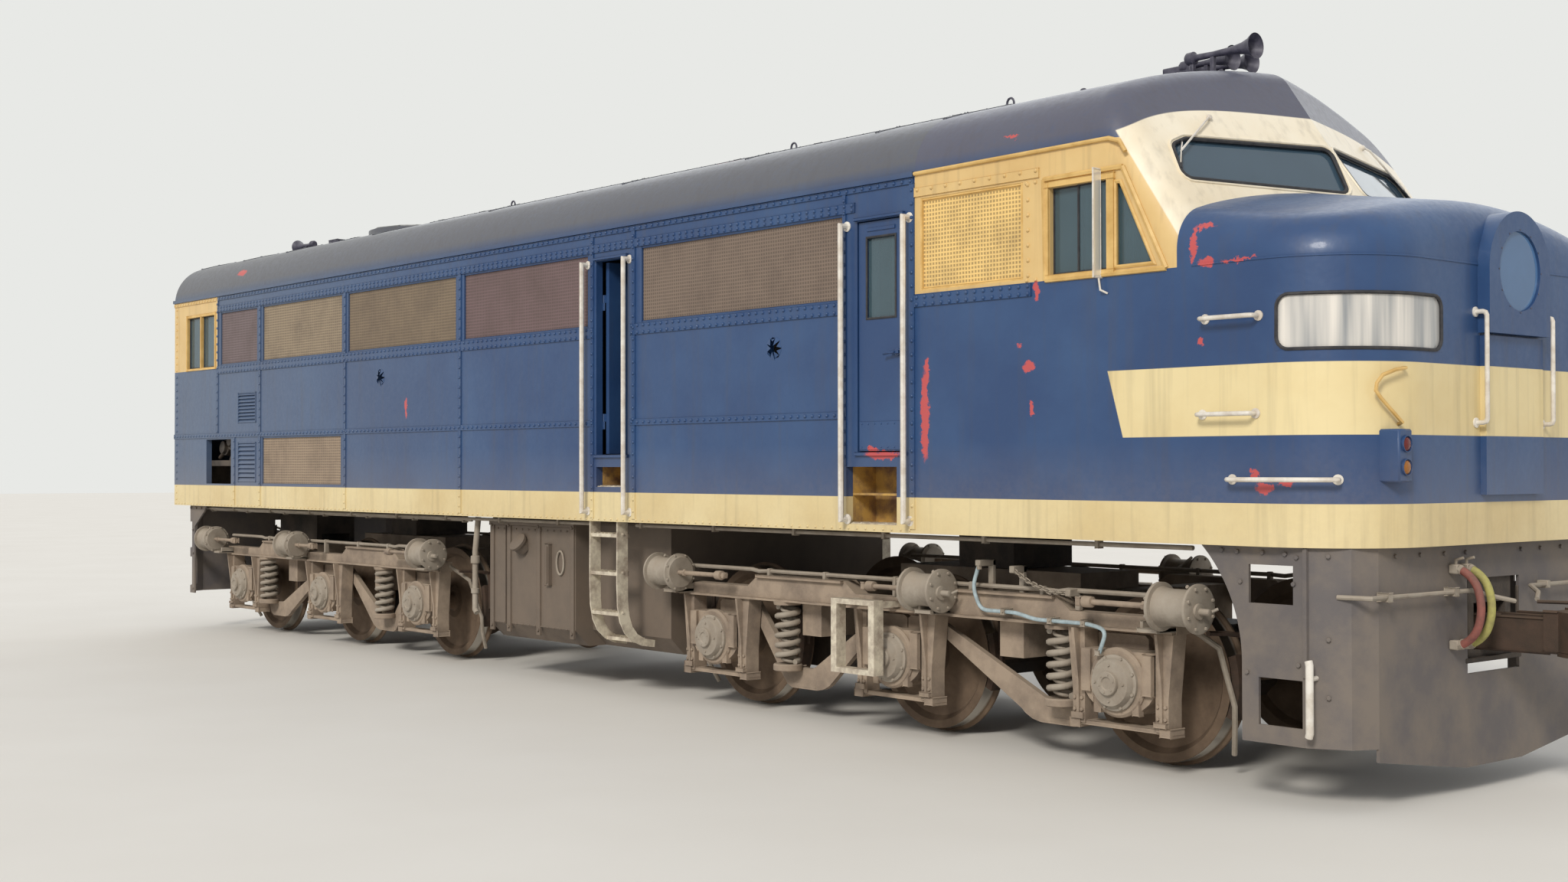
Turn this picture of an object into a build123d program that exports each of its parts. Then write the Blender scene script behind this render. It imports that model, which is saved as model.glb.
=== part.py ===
from build123d import *
import os
from math import atan2, cos, radians, sin, sqrt

# A six-axle diesel locomotive with a full-width body and one streamlined cab, in millimetres.
# +X runs to the nose, +Y to the driver's left, +Z up. Z is 0 at the lowest point of the wheel
# flanges, X and Y are 0 at the middle of the length and of the track.

os.makedirs("parts", exist_ok=True)

# Wheels and axles
wheel_r = 508.0
flange_h = 28.0
wheel_back_y = 680.0
tyre_w = 135.0
axle_r = 95.0
journal_r = 72.0
journal_gap = 0.5
axlebox_play = 45.0
axle_step = 1905.0
axle_z = wheel_r + flange_h

# Bogies, with x measured outward from the pivot toward the nearer end of the vehicle
front_bogie_x = 3850.0
rear_bogie_x = -4420.0
bogie_frame_out_y = 1190.0
bogie_frame_t = 120.0
chord_top_z = 1016.0
chord_bottom_z = 838.0
chord_dip_z = 930.0
leg_w = 92.0
gusset_w = 38.0
leg_bottom_z = 272.0
box_half_w = 262.0
frame_end_x = axle_step + box_half_w + leg_w + 60.0
box_in_y = 1005.0
box_out_y = 1225.0
box_h = 370.0
box_cover_r = 165.0
cover_t = 62.0
cap_r = 70.0
cap_t = 26.0
seat_gap = 0.3
bolster_top_z = 1090.0
bolster_half_w = 300.0
transom_x = 952.0
transom_w = 200.0
transom_z = 600.0
pivot_r = 150.0
pivot_gap = 1.0
swing_gap = 6.0
equaliser_in_y = 1012.0
equaliser_t = 48.0
equaliser_end_gap = 6.0
spring_r = 92.0
spring_waist_r = 66.0
spring_turns = 3
spring_flats = 8
brake_body_r = 118.0
brake_flange_r = 140.0
brake_z = 1008.0
brake_l = 300.0
brake_flats = 8
cover_flats = 12
cap_flats = 6

# Body
half_w = 1475.0
rear_x = -7550.0
nose_x = 7530.0
side_t = 60.0
sill_z = 1373.0
stripe_z = 1600.0
seam_z = 2888.0
gutter_z = 3633.0
crown_z = 4228.0
shoulder_r = 430.0
cab_back_x = 4350.0
cab_front_x = 6400.0
bulkhead_t = 60.0
nose_corner_r = 577.0
hood_back_z = 3385.0
hood_pitch = 9.0
hood_crown_r = 4600.0
hood_edge_r = 260.0
screen_base_x = 6624.0
screen_base_z = 3385.0
screen_sweep = 14.6
screen_rake = 34.3
screen_edge_r = 200.0
coupler_out = 620.0
coupler_reach_x = nose_x + coupler_out
coupler_z = 908.0

# Doors
door_t = 40.0
door_gap = 8.0
door_recess = 10.0
door_bottom_z = 1890.0
door_top_z = 3400.0
hinge_in = 12.0
hinge_out = 4.0
hinge_zs = (2150.0, 3080.0)
barrel_r = 10.0
barrel_h = 60.0
strap_l = 50.0

roof_r = (
    (half_w - shoulder_r) ** 2 + (crown_z - gutter_z) ** 2 - shoulder_r**2
) / (2 * (crown_z - gutter_z - shoulder_r))
roof_centre_z = crown_z - roof_r
shoulder_turn = atan2(gutter_z - roof_centre_z, half_w - shoulder_r)


def keep(piece, name):
    """Labels a finished sub-part and writes it to its own file."""
    piece.part.label = name
    export_step(piece.part, f"parts/{name}.step")


def block(x0, x1, y0, y1, z0, z1, mode=Mode.ADD):
    """Adds a box between two opposite corners to the part in hand."""
    with Locations(((x0 + x1) / 2, (y0 + y1) / 2, (z0 + z1) / 2)):
        Box(abs(x1 - x0), abs(y1 - y0), abs(z1 - z0), mode=mode)


def rod(start, end, radius, flats=0, mode=Mode.ADD):
    """Adds a bar between two points to the part in hand, round or with so many flats."""
    along = Vector(*end) - Vector(*start)
    with BuildSketch(Plane(origin=start, z_dir=along)) as section:
        if flats:
            RegularPolygon(radius, flats)
        else:
            Circle(radius)
    extrude(section.sketch, amount=along.length, mode=mode)


def hinge_barrel(x, y, z, toward_x, toward_y, root):
    """Adds one hinge barrel above z, strapped along one axis to a face at distance root."""
    rod((x, y, z), (x, y, z + barrel_h), barrel_r, flats=6)
    if toward_x:
        block(x, x + toward_x * strap_l, y, y + root, z, z + barrel_h)
    else:
        block(x, x + root, y, y + toward_y * strap_l, z, z + barrel_h)


def rail(points, radius):
    """Adds a mitred bar with eight flats along the points to the part in hand."""
    with BuildLine() as path:
        Polyline(*points)
    with BuildSketch(Plane(origin=path.line @ 0, z_dir=path.line % 0)) as section:
        RegularPolygon(radius, 8)
    sweep(section.sketch, path=path.line, transition=Transition.RIGHT)


# Wheelsets: two flanged wheels pressed on one axle
def wheelset_form():
    """One axle with its wheels, about the Y axis."""
    face = wheel_back_y + tyre_w
    tip = wheel_r + flange_h
    end = box_out_y - axlebox_play
    rows = (
        # radius, distance from the middle of the axle
        (0, 0),
        (axle_r, 0),
        (axle_r, wheel_back_y),
        (tip, wheel_back_y),
        (wheel_r + 3, wheel_back_y + 34),
        (wheel_r - 3, face),
        (journal_r, face),
        (journal_r, end),
        (0, end),
    )
    with BuildPart() as form:
        with BuildSketch(Plane.XY):
            with BuildLine():
                Polyline(*rows, close=True)
            make_face()
            mirror(about=Plane.XZ)
        revolve(axis=Axis.Y)
    return form.part


# Bogie pieces, each built once about the bogie's own pivot
def frame_form():
    """The cast bogie frame: two side frames with pedestal legs, two transoms and a bolster."""
    in_y = bogie_frame_out_y - bogie_frame_t
    slope = 120
    dip = box_half_w + leg_w + 20
    top = [(-frame_end_x, chord_dip_z)]
    for axle in (-axle_step, 0):
        top += [
            (axle + dip, chord_dip_z),
            (axle + dip + slope, chord_top_z),
            (axle + axle_step - dip - slope, chord_top_z),
            (axle + axle_step - dip, chord_dip_z),
        ]
    top += [(frame_end_x, chord_dip_z), (frame_end_x, chord_bottom_z)]
    top += [(-frame_end_x, chord_bottom_z)]
    with BuildPart() as form:
        with BuildSketch(Plane.XZ.offset(-in_y)):
            with BuildLine():
                Polyline(*top, close=True)
            make_face()
            for axle in (-axle_step, 0, axle_step):
                for way in (-1, 1):
                    near = axle + way * (box_half_w + seat_gap)
                    far = near + way * leg_w
                    with BuildLine():
                        Polyline(
                            (near, chord_bottom_z + 10),
                            (near, leg_bottom_z),
                            (far, leg_bottom_z),
                            (far, leg_bottom_z + 190),
                            (far + way * gusset_w, chord_bottom_z + 10),
                            close=True,
                        )
                    make_face()
        extrude(amount=-bogie_frame_t)
        mirror(about=Plane.XZ)
        for way in (-1, 1):
            inner = way * (transom_x - transom_w / 2)
            outer = way * (transom_x + transom_w / 2)
            block(inner, outer, -in_y - 5, in_y + 5, transom_z, chord_top_z - 40)
        reach = transom_x - transom_w / 2
        block(-reach, reach, -bolster_half_w, bolster_half_w, chord_dip_z - 50, bolster_top_z)
        with BuildSketch(Plane.XY.offset(chord_dip_z - 60)):
            Circle(pivot_r + pivot_gap)
        extrude(amount=bolster_top_z, mode=Mode.SUBTRACT)
    return form.part


def axlebox_form(x, side):
    """One roller-bearing axlebox with its round cover, bored for the journal."""
    top = axle_z + box_h / 2
    with BuildPart() as form:
        block(x - box_half_w, x + box_half_w, side * box_in_y, side * box_out_y, top - box_h, top)
        cover_y = side * (box_out_y + cover_t)
        cap_y = side * (box_out_y + cover_t + cap_t)
        rod((x, side * box_out_y, axle_z), (x, cover_y, axle_z), box_cover_r, flats=cover_flats)
        rod((x, cover_y, axle_z), (x, cap_y, axle_z), cap_r, flats=cap_flats)
        rod(
            (x, side * (box_in_y - 1), axle_z),
            (x, side * (box_out_y - axlebox_play + 5), axle_z),
            journal_r + journal_gap,
            mode=Mode.SUBTRACT,
        )
    return form.part


# Springs stand on the low part of each equaliser: gap side, x
spring_rows = ((-1, -1150.0), (1, 1410.0))
equaliser_low_z = 215.0
equaliser_depth = 150.0


def equaliser_form(way, spring_x, side):
    """One drop equaliser from the middle axlebox to an outer one, with its spring cup."""
    box_top = axle_z + box_h / 2 + seat_gap
    outer = axle_step
    seat = abs(spring_x)
    rows = (
        # distance from the middle axle, height
        (equaliser_end_gap, box_top),
        (box_half_w + 15, box_top),
        (seat - 390, equaliser_low_z + 70),
        (seat - 230, equaliser_low_z),
        (seat + 60, equaliser_low_z),
        (seat + 150, equaliser_low_z + 90),
        (outer - 290, box_top),
        (outer + 110, box_top),
        (outer + 110, box_top + 85),
        (outer - 330, box_top + 85),
        (seat + 75, equaliser_low_z + equaliser_depth + 40),
        (seat + 30, equaliser_low_z + equaliser_depth),
        (seat - 190, equaliser_low_z + equaliser_depth),
        (box_half_w, box_top + 85),
        (equaliser_end_gap, box_top + 85),
    )
    cup_top = equaliser_low_z + equaliser_depth + 30
    with BuildPart() as form:
        with BuildSketch(Plane.XZ.offset(-side * equaliser_in_y)):
            with BuildLine():
                Polyline(*[(way * x, z) for x, z in rows], close=True)
            make_face()
        extrude(amount=-side * equaliser_t)
        block(
            spring_x - 60,
            spring_x + 60,
            side * (equaliser_in_y + 4),
            side * (spring_y + 60),
            cup_top - 50,
            cup_top - 20,
        )
        rod(
            (spring_x, side * spring_y, cup_top - 50),
            (spring_x, side * spring_y, cup_top),
            spring_r + 13,
            flats=spring_flats,
        )
    return form.part


spring_y = bogie_frame_out_y - bogie_frame_t / 2


def spring_form(x, side):
    """One coil spring as a pleated column between the equaliser's cup and the frame's chord."""
    low = equaliser_low_z + equaliser_depth + 30 + seat_gap
    high = chord_bottom_z - seat_gap
    step = (high - low) / (2 * spring_turns)
    with BuildPart() as form:
        for level in range(2 * spring_turns + 1):
            with BuildSketch(Plane.XY.offset(low + level * step)):
                RegularPolygon(spring_waist_r if level % 2 else spring_r, spring_flats)
        loft(ruled=True)
    return form.part.moved(Location((x, side * spring_y, 0)))


# Brake cylinders on each side frame: x, way the rod points, rod length
brake_rows = ((-2290.0, 1, 560.0), (450.0, -1, 420.0), (2440.0, -1, 560.0))


def brake_form(x, way, reach, side):
    """One brake cylinder with its end flanges, bracket, push rod and slack adjuster."""
    y = side * (bogie_frame_out_y + brake_flange_r + 2)
    tail = x - way * brake_l / 2
    front = x + way * brake_l / 2
    rod_y = y + side * 20
    with BuildPart() as form:
        rod((tail, y, brake_z), (front, y, brake_z), brake_body_r, flats=brake_flats)
        rod((front - way * 30, y, brake_z), (front, y, brake_z), brake_flange_r, flats=brake_flats)
        rod((front, rod_y, brake_z), (front + way * reach, rod_y, brake_z), 20, flats=6)
        rod(
            (front + way * (reach - 110), rod_y, brake_z),
            (front + way * (reach - 40), rod_y, brake_z),
            36,
            flats=6,
        )
        rod((tail - way * 70, rod_y, brake_z - 20), (tail, rod_y, brake_z - 20), 24, flats=6)
        seat_x = min(max(x, 75 - frame_end_x), frame_end_x - 75)
        block(
            seat_x - 70,
            seat_x + 70,
            side * bogie_frame_out_y,
            y,
            chord_bottom_z + 20,
            chord_bottom_z + 80,
        )
    return form.part


def motor_form(near, far):
    """One axle-hung traction motor as a plain heavy casing nosed on its transom."""
    low = axle_z - 230
    high = axle_z + 250
    mid = (near + far) / 2
    span = abs(far - near)
    with BuildPart() as form:
        with BuildSketch(Plane.XZ.offset(-520)) as casing:
            with Locations((mid, (low + high) / 2)):
                Rectangle(span, high - low)
            chamfer(casing.vertices(), 90)
        extrude(amount=1040)
    return form.part


def bogie_step_form(side):
    """The open step frame that hangs from the side frame in front of the middle axle."""
    x0, x1, z0, z1 = -350.0, 70.0, 428.0, 920.0
    y0 = side * (box_out_y + 125)
    y1 = y0 + side * 85
    with BuildPart() as form:
        block(x0, x1, y0, y1, z0, z1)
        block(x0 + 55, x1 - 55, y0 - side, y1 + side, z0 + 35, z1 - 35, mode=Mode.SUBTRACT)
        for x in (x0, x1 - 40):
            block(x, x + 40, side * bogie_frame_out_y, y0, z1 - 50, z1 - 10)
    return form.part


bogie_forms = {"frame": [frame_form()]}
bogie_forms["axleboxes"] = [
    axlebox_form(x, side) for x in (-axle_step, 0, axle_step) for side in (-1, 1)
]
bogie_forms["suspension"] = [
    form
    for way, x in spring_rows
    for side in (-1, 1)
    for form in (equaliser_form(way, x, side), spring_form(x, side))
]
bogie_forms["brake_gear"] = [
    brake_form(x, way, reach, side) for x, way, reach in brake_rows for side in (-1, 1)
]
motor_gap = 8.0
transom_face = transom_x + transom_w / 2 + seat_gap
bogie_forms["motors"] = [
    motor_form(transom_face, axle_step - axle_r - motor_gap),
    motor_form(-transom_face, -axle_step + axle_r + motor_gap),
    motor_form(-(axle_r + motor_gap), -(transom_x - transom_w / 2 - seat_gap)),
]
bogie_places = (
    ("front", Location((front_bogie_x, 0, 0))),
    ("rear", Location((rear_bogie_x, 0, 0), (0, 0, 180))),
)
wheelset = wheelset_form()
for end, place in bogie_places:
    for kind, forms in bogie_forms.items():
        with BuildPart() as piece:
            add([form.moved(place) for form in forms])
        keep(piece, f"bogie_{kind}_{end}")
    for number, x in enumerate((axle_step, 0.0, -axle_step), start=1):
        with BuildPart() as piece:
            add(wheelset.moved(place * Location((x, 0, axle_z))))
        keep(piece, f"wheelset_{end}_{number}")
with BuildPart() as bogie_steps:
    add([bogie_step_form(side).moved(bogie_places[0][1]) for side in (-1, 1)])
keep(bogie_steps, "bogie_steps")

# Hose and chain clipped along the right-hand side of the front bogie, x measured from its pivot
hose_r = 12.0
hose_flats = 6
hose_y = -bogie_frame_out_y - 60
hose_route = (
    # x, z
    (840.0, 1190.0),
    (782.0, 1040.0),
    (850.0, 900.0),
    (1150.0, 900.0),
    (1300.0, 868.0),
    (1720.0, 868.0),
    (1860.0, 840.0),
    (1800.0, 690.0),
)
hose_bend_r = 55.0
clip_rows = (
    # x, z
    (1050.0, 900.0),
    (1430.0, 868.0),
    (1690.0, 868.0),
)
chain_route = (
    # x, z
    (1110.0, 1160.0),
    (1240.0, 1090.0),
    (1400.0, 1040.0),
    (1560.0, 1040.0),
)
chain_r = 15.0
with BuildPart() as bogie_hose:
    with BuildLine() as run:
        FilletPolyline(*[(x, hose_y, z) for x, z in hose_route], radius=hose_bend_r)
    with BuildSketch(Plane(origin=run.line @ 0, z_dir=run.line % 0)) as section:
        RegularPolygon(hose_r, hose_flats)
    sweep(section.sketch, path=run.line)
    wall = -bogie_frame_out_y - seat_gap
    for x, z in clip_rows:
        block(x - 16, x + 16, wall, hose_y - hose_r - 3, z - 18, z + 18)
    x, z = hose_route[-1]
    block(x - 16, x + 16, -box_out_y - seat_gap, hose_y - hose_r - 3, z - 2, z + 28)
    x, z = hose_route[0]
    block(x - 22, x + 22, hose_y - 18, -bogie_frame_out_y + 70, z - 18, z + 22)
    block(x - 22, x + 22, -bogie_frame_out_y + 40, -bogie_frame_out_y + 70, chord_top_z + seat_gap, z + 22)
with BuildPart() as bogie_chain:
    rail([(x, hose_y + 20, z) for x, z in chain_route], chain_r)
    for (x, z), low in ((chain_route[0], chord_top_z), (chain_route[-1], chord_dip_z)):
        block(x - 20, x + 20, hose_y, -bogie_frame_out_y + 60, z - 20, z + 24)
        block(x - 20, x + 20, -bogie_frame_out_y + 30, -bogie_frame_out_y + 60, low + seat_gap, z + 24)
with BuildPart() as bogie_hoses:
    add([form.part.moved(bogie_places[0][1]) for form in (bogie_hose, bogie_chain)])
keep(bogie_hoses, "bogie_hoses")


# Body forms
def body_outline(inset, bottom_z):
    """Face of the body across the track, pulled in by inset and closed at bottom_z."""
    half = half_w - inset
    small = shoulder_r - inset
    large = roof_r - inset
    side_c = half_w - shoulder_r
    mid = shoulder_turn / 2
    knee = (large * cos(shoulder_turn), roof_centre_z + large * sin(shoulder_turn))
    bend = (side_c + small * cos(mid), gutter_z + small * sin(mid))
    with BuildSketch(Plane.YZ) as face:
        with BuildLine():
            Line((-half, gutter_z), (half, gutter_z))
            ThreePointArc((half, gutter_z), bend, knee)
            ThreePointArc(knee, (0, roof_centre_z + large), (-knee[0], knee[1]))
            ThreePointArc((-knee[0], knee[1]), (-bend[0], bend[1]), (-half, gutter_z))
        make_face()
        if bottom_z < gutter_z:
            with Locations((0, (gutter_z + bottom_z) / 2)):
                Rectangle(2 * half, gutter_z - bottom_z)
    return face.sketch


def body_run(inset, bottom_z, x0, x1):
    """Solid of the body's cross-section from x0 to x1."""
    with BuildPart() as run:
        extrude(body_outline(inset, bottom_z).moved(Location((x0, 0, 0))), amount=x1 - x0)
    return run.part


def nose_run(inset, x0, z0, z1):
    """Solid of the nose's plan, with rounded front corners, from z0 to z1."""
    front = nose_x - inset
    with BuildPart() as run:
        with BuildSketch(Plane.XY.offset(z0)) as plan:
            with Locations(((x0 + front) / 2, 0)):
                Rectangle(front - x0, 2 * (half_w - inset))
            fillet(plan.vertices().group_by(Axis.X)[-1], nose_corner_r - inset)
        extrude(amount=z1 - z0)
    return run.part


def screen_plane(side, inset=0.0):
    """Plane of one windscreen, x outward along its foot, y up its slope, facing out."""
    foot = Vector(-sin(radians(screen_sweep)), side * cos(radians(screen_sweep)), 0)
    up = Vector(-sin(radians(screen_rake)), 0, cos(radians(screen_rake)))
    out = foot.cross(up) if side > 0 else up.cross(foot)
    origin = Vector(screen_base_x, 0, screen_base_z) - out.normalized() * inset
    return Plane(origin=origin, x_dir=foot, z_dir=out)


def cab_run(inset):
    """Solid of the cab above the seam, cut to the two raked windscreens and rounded."""
    with BuildPart() as run:
        add(body_run(inset, seam_z, cab_back_x, nose_x))
        for side in (-1, 1):
            split(bisect_by=screen_plane(side, inset), keep=Keep.BOTTOM)
        fronts = run.faces().filter_by(GeomType.PLANE).sort_by(Axis.X)[-2:]
        rim = [e for face in fronts for e in face.edges() if e.center().Z > seam_z + 1]
        outer = [e for e in rim if abs(e.center().Y) >= 1]
        fillet(outer, screen_edge_r - inset)
    return run.part


def nose_form(inset, bottom_z):
    """Solid of the nose from bottom_z up to its cambered and rounded top."""
    pitch = radians(hood_pitch)
    axis = Vector(cos(pitch), 0, -sin(pitch))
    top = Vector(screen_base_x, 0, hood_back_z - inset)
    centre = top - Vector(sin(pitch), 0, cos(pitch)) * (hood_crown_r - inset)
    with BuildPart() as form:
        add(nose_run(inset, cab_back_x, bottom_z, crown_z))
        with BuildSketch(Plane(origin=centre - axis * 3000, z_dir=axis)) as crown:
            Circle(hood_crown_r - inset)
        extrude(crown.sketch, amount=6000, mode=Mode.INTERSECT)
        lid = form.faces().filter_by(GeomType.CYLINDER).sort_by(SortBy.AREA)[-1]
        rim = [edge for edge in lid.edges() if edge.center().X > cab_back_x + 1]
        fillet(rim, hood_edge_r - inset)
    return form.part


# Openings in the engine-room sides, and the joints where their plates meet
grille_z0 = 2888.0
grille_z1 = 3463.0
grille_rows = (
    # x0, x1, z0, z1
    (-6310.0, -5370.0, grille_z0, grille_z1),
    (-5260.0, -3470.0, grille_z0, grille_z1),
    (-3370.0, -1330.0, grille_z0, grille_z1),
    (-1220.0, 700.0, grille_z0, grille_z1),
    (1390.0, 3680.0, grille_z0, grille_z1),
    (-5270.0, -3490.0, 1615.0, 2108.0),
    (-5850.0, -5410.0, 2260.0, 2580.0),
    (-5850.0, -5410.0, 1640.0, 2055.0),
)
cab_grille = (cab_back_x + 50, cab_back_x + 920, seam_z + 20, 3490.0)
plate_joints = (-5940.0, 745.0, 1300.0, 3690.0)
door_rows = (
    # name, x0, x1 of the opening
    ("engine", 800.0, 1220.0),
    ("cab", 3810.0, 4250.0),
)
pocket_rows = (
    # x0, x1, z0, z1 of the step pocket below each door
    (800.0, 1150.0, 1640.0, 1795.0),
    (3700.0, 4180.0, 1420.0, 1795.0),
)
rear_window = (-7180.0, -6440.0, 2880.0, 3450.0)
missing_panel = (-6670.0, -6030.0, 1618.0, 2095.0)
torn_holes = ((2960.0, 2614.0), (-2714.0, 2626.0))
torn_r = 80.0
floor_z = 1870.0
floor_t = 60.0


def side_form(side):
    """One engine-room side with its grille, door, window and step openings."""
    in_y = side * (half_w - side_t - 1)
    out_y = side * (half_w + 1)
    with BuildPart() as form:
        block(rear_x, cab_back_x, side * (half_w - side_t), side * half_w, sill_z, gutter_z)
        for x0, x1, z0, z1 in grille_rows:
            block(x0, x1, in_y, out_y, z0, z1, mode=Mode.SUBTRACT)
        for _, x0, x1 in door_rows:
            block(x0, x1, in_y, out_y, door_bottom_z, door_top_z, mode=Mode.SUBTRACT)
        for x0, x1, z0, z1 in pocket_rows:
            block(x0, x1, in_y, out_y, z0, z1, mode=Mode.SUBTRACT)
        x0, x1, z0, z1 = rear_window
        block(x0, x1, in_y, out_y, z0, z1, mode=Mode.SUBTRACT)
        hinge_y = side * (half_w - side_t - hinge_in)
        for _, x0, x1 in door_rows:
            for z in hinge_zs:
                hinge_barrel(x0 + hinge_out, hinge_y, z - barrel_h - seat_gap, -1, 0, side * hinge_in)
        for x in plate_joints:
            block(x, x + seat_gap, in_y, out_y, sill_z - 1, gutter_z + 1, mode=Mode.SUBTRACT)
        if side < 0:
            x0, x1, z0, z1 = missing_panel
            block(x0, x1, in_y, out_y, z0, z1, mode=Mode.SUBTRACT)
            for x, z in torn_holes:
                with BuildSketch(Plane.XZ.offset(half_w - side_t - 1)) as hole:
                    with Locations((x, z)):
                        RegularPolygon(torn_r, 7)
                extrude(hole.sketch, amount=side_t + 2, mode=Mode.SUBTRACT)
    return form.part


def grille_form(side):
    """The mesh and louvre panels set into one side's openings, engine room and cab."""
    out_y = side * (half_w - 15)
    in_y = side * (half_w - 45)
    with BuildPart() as form:
        for x0, x1, z0, z1 in (*grille_rows, cab_grille):
            block(x0 + 1, x1 - 1, in_y, out_y, z0 + seat_gap, z1 - 1)
    return form.part


side_names = {-1: "right", 1: "left"}
for side, name in side_names.items():
    with BuildPart() as side_wall:
        add(side_form(side))
    keep(side_wall, f"side_{name}")
    with BuildPart() as side_grilles:
        add(grille_form(side))
    keep(side_grilles, f"grilles_{name}")

# Roof over the engine room, with the fan opening, gutters and raised hatches
fan_x = -4350.0
fan_r = 620.0
collar_t = 40.0
collar_h = 12.0
gutter_w = 24.0
gutter_h = 34.0
hatch_half_w = 470.0
hatch_h = 42.0
hatch_rows = (
    # x0, x1
    (-5540.0, -5100.0),
    (-3590.0, -2300.0),
    (-2280.0, -540.0),
    (-520.0, 1800.0),
    (1820.0, 4250.0),
)
with BuildPart() as roof:
    add(body_run(0, gutter_z, rear_x, cab_back_x - seat_gap))
    add(body_run(side_t, gutter_z - 1, rear_x - 1, cab_back_x), mode=Mode.SUBTRACT)
    for side in (-1, 1):
        block(
            rear_x, cab_back_x - seat_gap,
            side * (half_w - 1), side * (half_w + gutter_w),
            gutter_z, gutter_z + gutter_h,
        )
    rod((fan_x, 0, crown_z - 200), (fan_x, 0, crown_z + collar_h), fan_r + collar_t)
    add(body_run(side_t, gutter_z - 1, rear_x - 1, cab_back_x), mode=Mode.SUBTRACT)
    rod((fan_x, 0, crown_z - 400), (fan_x, 0, crown_z + 20), fan_r, mode=Mode.SUBTRACT)
keep(roof, "roof")

with BuildPart() as roof_hatches:
    for x0, x1 in hatch_rows:
        add(body_run(-hatch_h, gutter_z, x0, x1))
    add(body_run(0, gutter_z - 1, rear_x, cab_back_x), mode=Mode.SUBTRACT)
    block(rear_x, cab_back_x, -hatch_half_w, hatch_half_w, gutter_z, crown_z + 200, mode=Mode.INTERSECT)
keep(roof_hatches, "roof_hatches")

# Radiator fan on its shaft and the guard over it
fan_z = crown_z - 170.0
hub_fan_r = 130.0
blade_count = 8
blade_w = 190.0
blade_pitch = 28.0
guard_z = crown_z + collar_h + seat_gap
guard_bar = 14.0
ring_flats = 12
with BuildPart() as radiator_fan:
    rod((fan_x, 0, fan_z - 60), (fan_x, 0, fan_z + 60), hub_fan_r)
    rod((fan_x, 0, fan_z - 300), (fan_x, 0, fan_z - 50), 30)
    blade_l = fan_r - hub_fan_r - 5
    for number in range(blade_count):
        spin = Location((fan_x, 0, fan_z), (0, 0, 360 / blade_count * number))
        with Locations(spin * Location((hub_fan_r - 10 + blade_l / 2, 0, 0), (blade_pitch, 0, 0))):
            Box(blade_l, blade_w, 9)
keep(radiator_fan, "radiator_fan")
with BuildPart() as fan_guard:
    for ring in (300, fan_r + 22):
        with BuildSketch(Plane.XY.offset(guard_z)) as hoop:
            with Locations((fan_x, 0)):
                RegularPolygon(ring, ring_flats)
                RegularPolygon(ring - guard_bar, ring_flats, mode=Mode.SUBTRACT)
        extrude(hoop.sketch, amount=guard_bar)
    for turn in range(0, 180, 45):
        with BuildSketch(Plane.XY.offset(guard_z)) as spoke:
            with Locations((fan_x, 0)):
                Rectangle(2 * (fan_r + 14), guard_bar, rotation=turn)
        extrude(spoke.sketch, amount=guard_bar)
keep(fan_guard, "fan_guard")

# Underframe: floor plate, two deep beams, bolsters with pivots and draft boxes
beam_y0 = 430.0
beam_y1 = 560.0
draft_half_w = 170.0
draft_z0 = 780.0
draft_z1 = 1040.0
with BuildPart() as underframe:
    add(nose_run(side_t + seat_gap, rear_x + side_t + seat_gap, floor_z - floor_t, floor_z))
    for side in (-1, 1):
        block(rear_x + 200, nose_x - 500, side * beam_y0, side * beam_y1, sill_z, floor_z - floor_t)
    for x in (rear_x + 200, -2200.0, -700.0, 900.0, 2300.0, nose_x - 560):
        block(x, x + 60, -half_w + side_t + 240, half_w - side_t - 240, sill_z, floor_z - floor_t)
    for x in (front_bogie_x, rear_bogie_x):
        block(x - 330, x + 330, -1000, 1000, sill_z, floor_z - floor_t)
        block(x - 260, x + 260, -bolster_half_w, bolster_half_w, bolster_top_z + swing_gap, sill_z)
        rod((x, 0, chord_dip_z + 20), (x, 0, sill_z), pivot_r, flats=16)
    for x0, x1 in ((nose_x - 1000, nose_x - 125), (rear_x + 1000, rear_x + 60)):
        block(x0, x1, -draft_half_w - 60, draft_half_w + 60, draft_z0 - 40, sill_z + 1)
        mouth_x = x1 + (x1 - x0)
        block(x0, mouth_x, -draft_half_w, draft_half_w, draft_z0, draft_z1, mode=Mode.SUBTRACT)
keep(underframe, "underframe")

# Couplers: a shank in the draft box and a knuckle head
coupler_tail_x = nose_x - 480


def coupler_form(way, face_x):
    """One knuckle coupler whose shank rests in the draft box."""
    low = coupler_z - 140
    head = (
        # distance back from the pulling face, offset across
        (300, -110),
        (180, -190),
        (0, -200),
        (0, -120),
        (110, -60),
        (110, 60),
        (0, 110),
        (0, 200),
        (150, 210),
        (300, 110),
    )
    with BuildPart() as form:
        with BuildSketch(Plane.XY.offset(low)) as plan:
            with BuildLine():
                Polyline(*[(face_x - way * back, way * across) for back, across in head], close=True)
            make_face()
        extrude(plan.sketch, amount=280)
        block(
            face_x - way * 299, way * coupler_tail_x,
            -draft_half_w + 50, draft_half_w - 50,
            draft_z0 + seat_gap, draft_z1 - 60,
        )
    return form.part


with BuildPart() as couplers:
    for way in (-1, 1):
        add(coupler_form(way, way * coupler_reach_x))
keep(couplers, "couplers")

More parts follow.
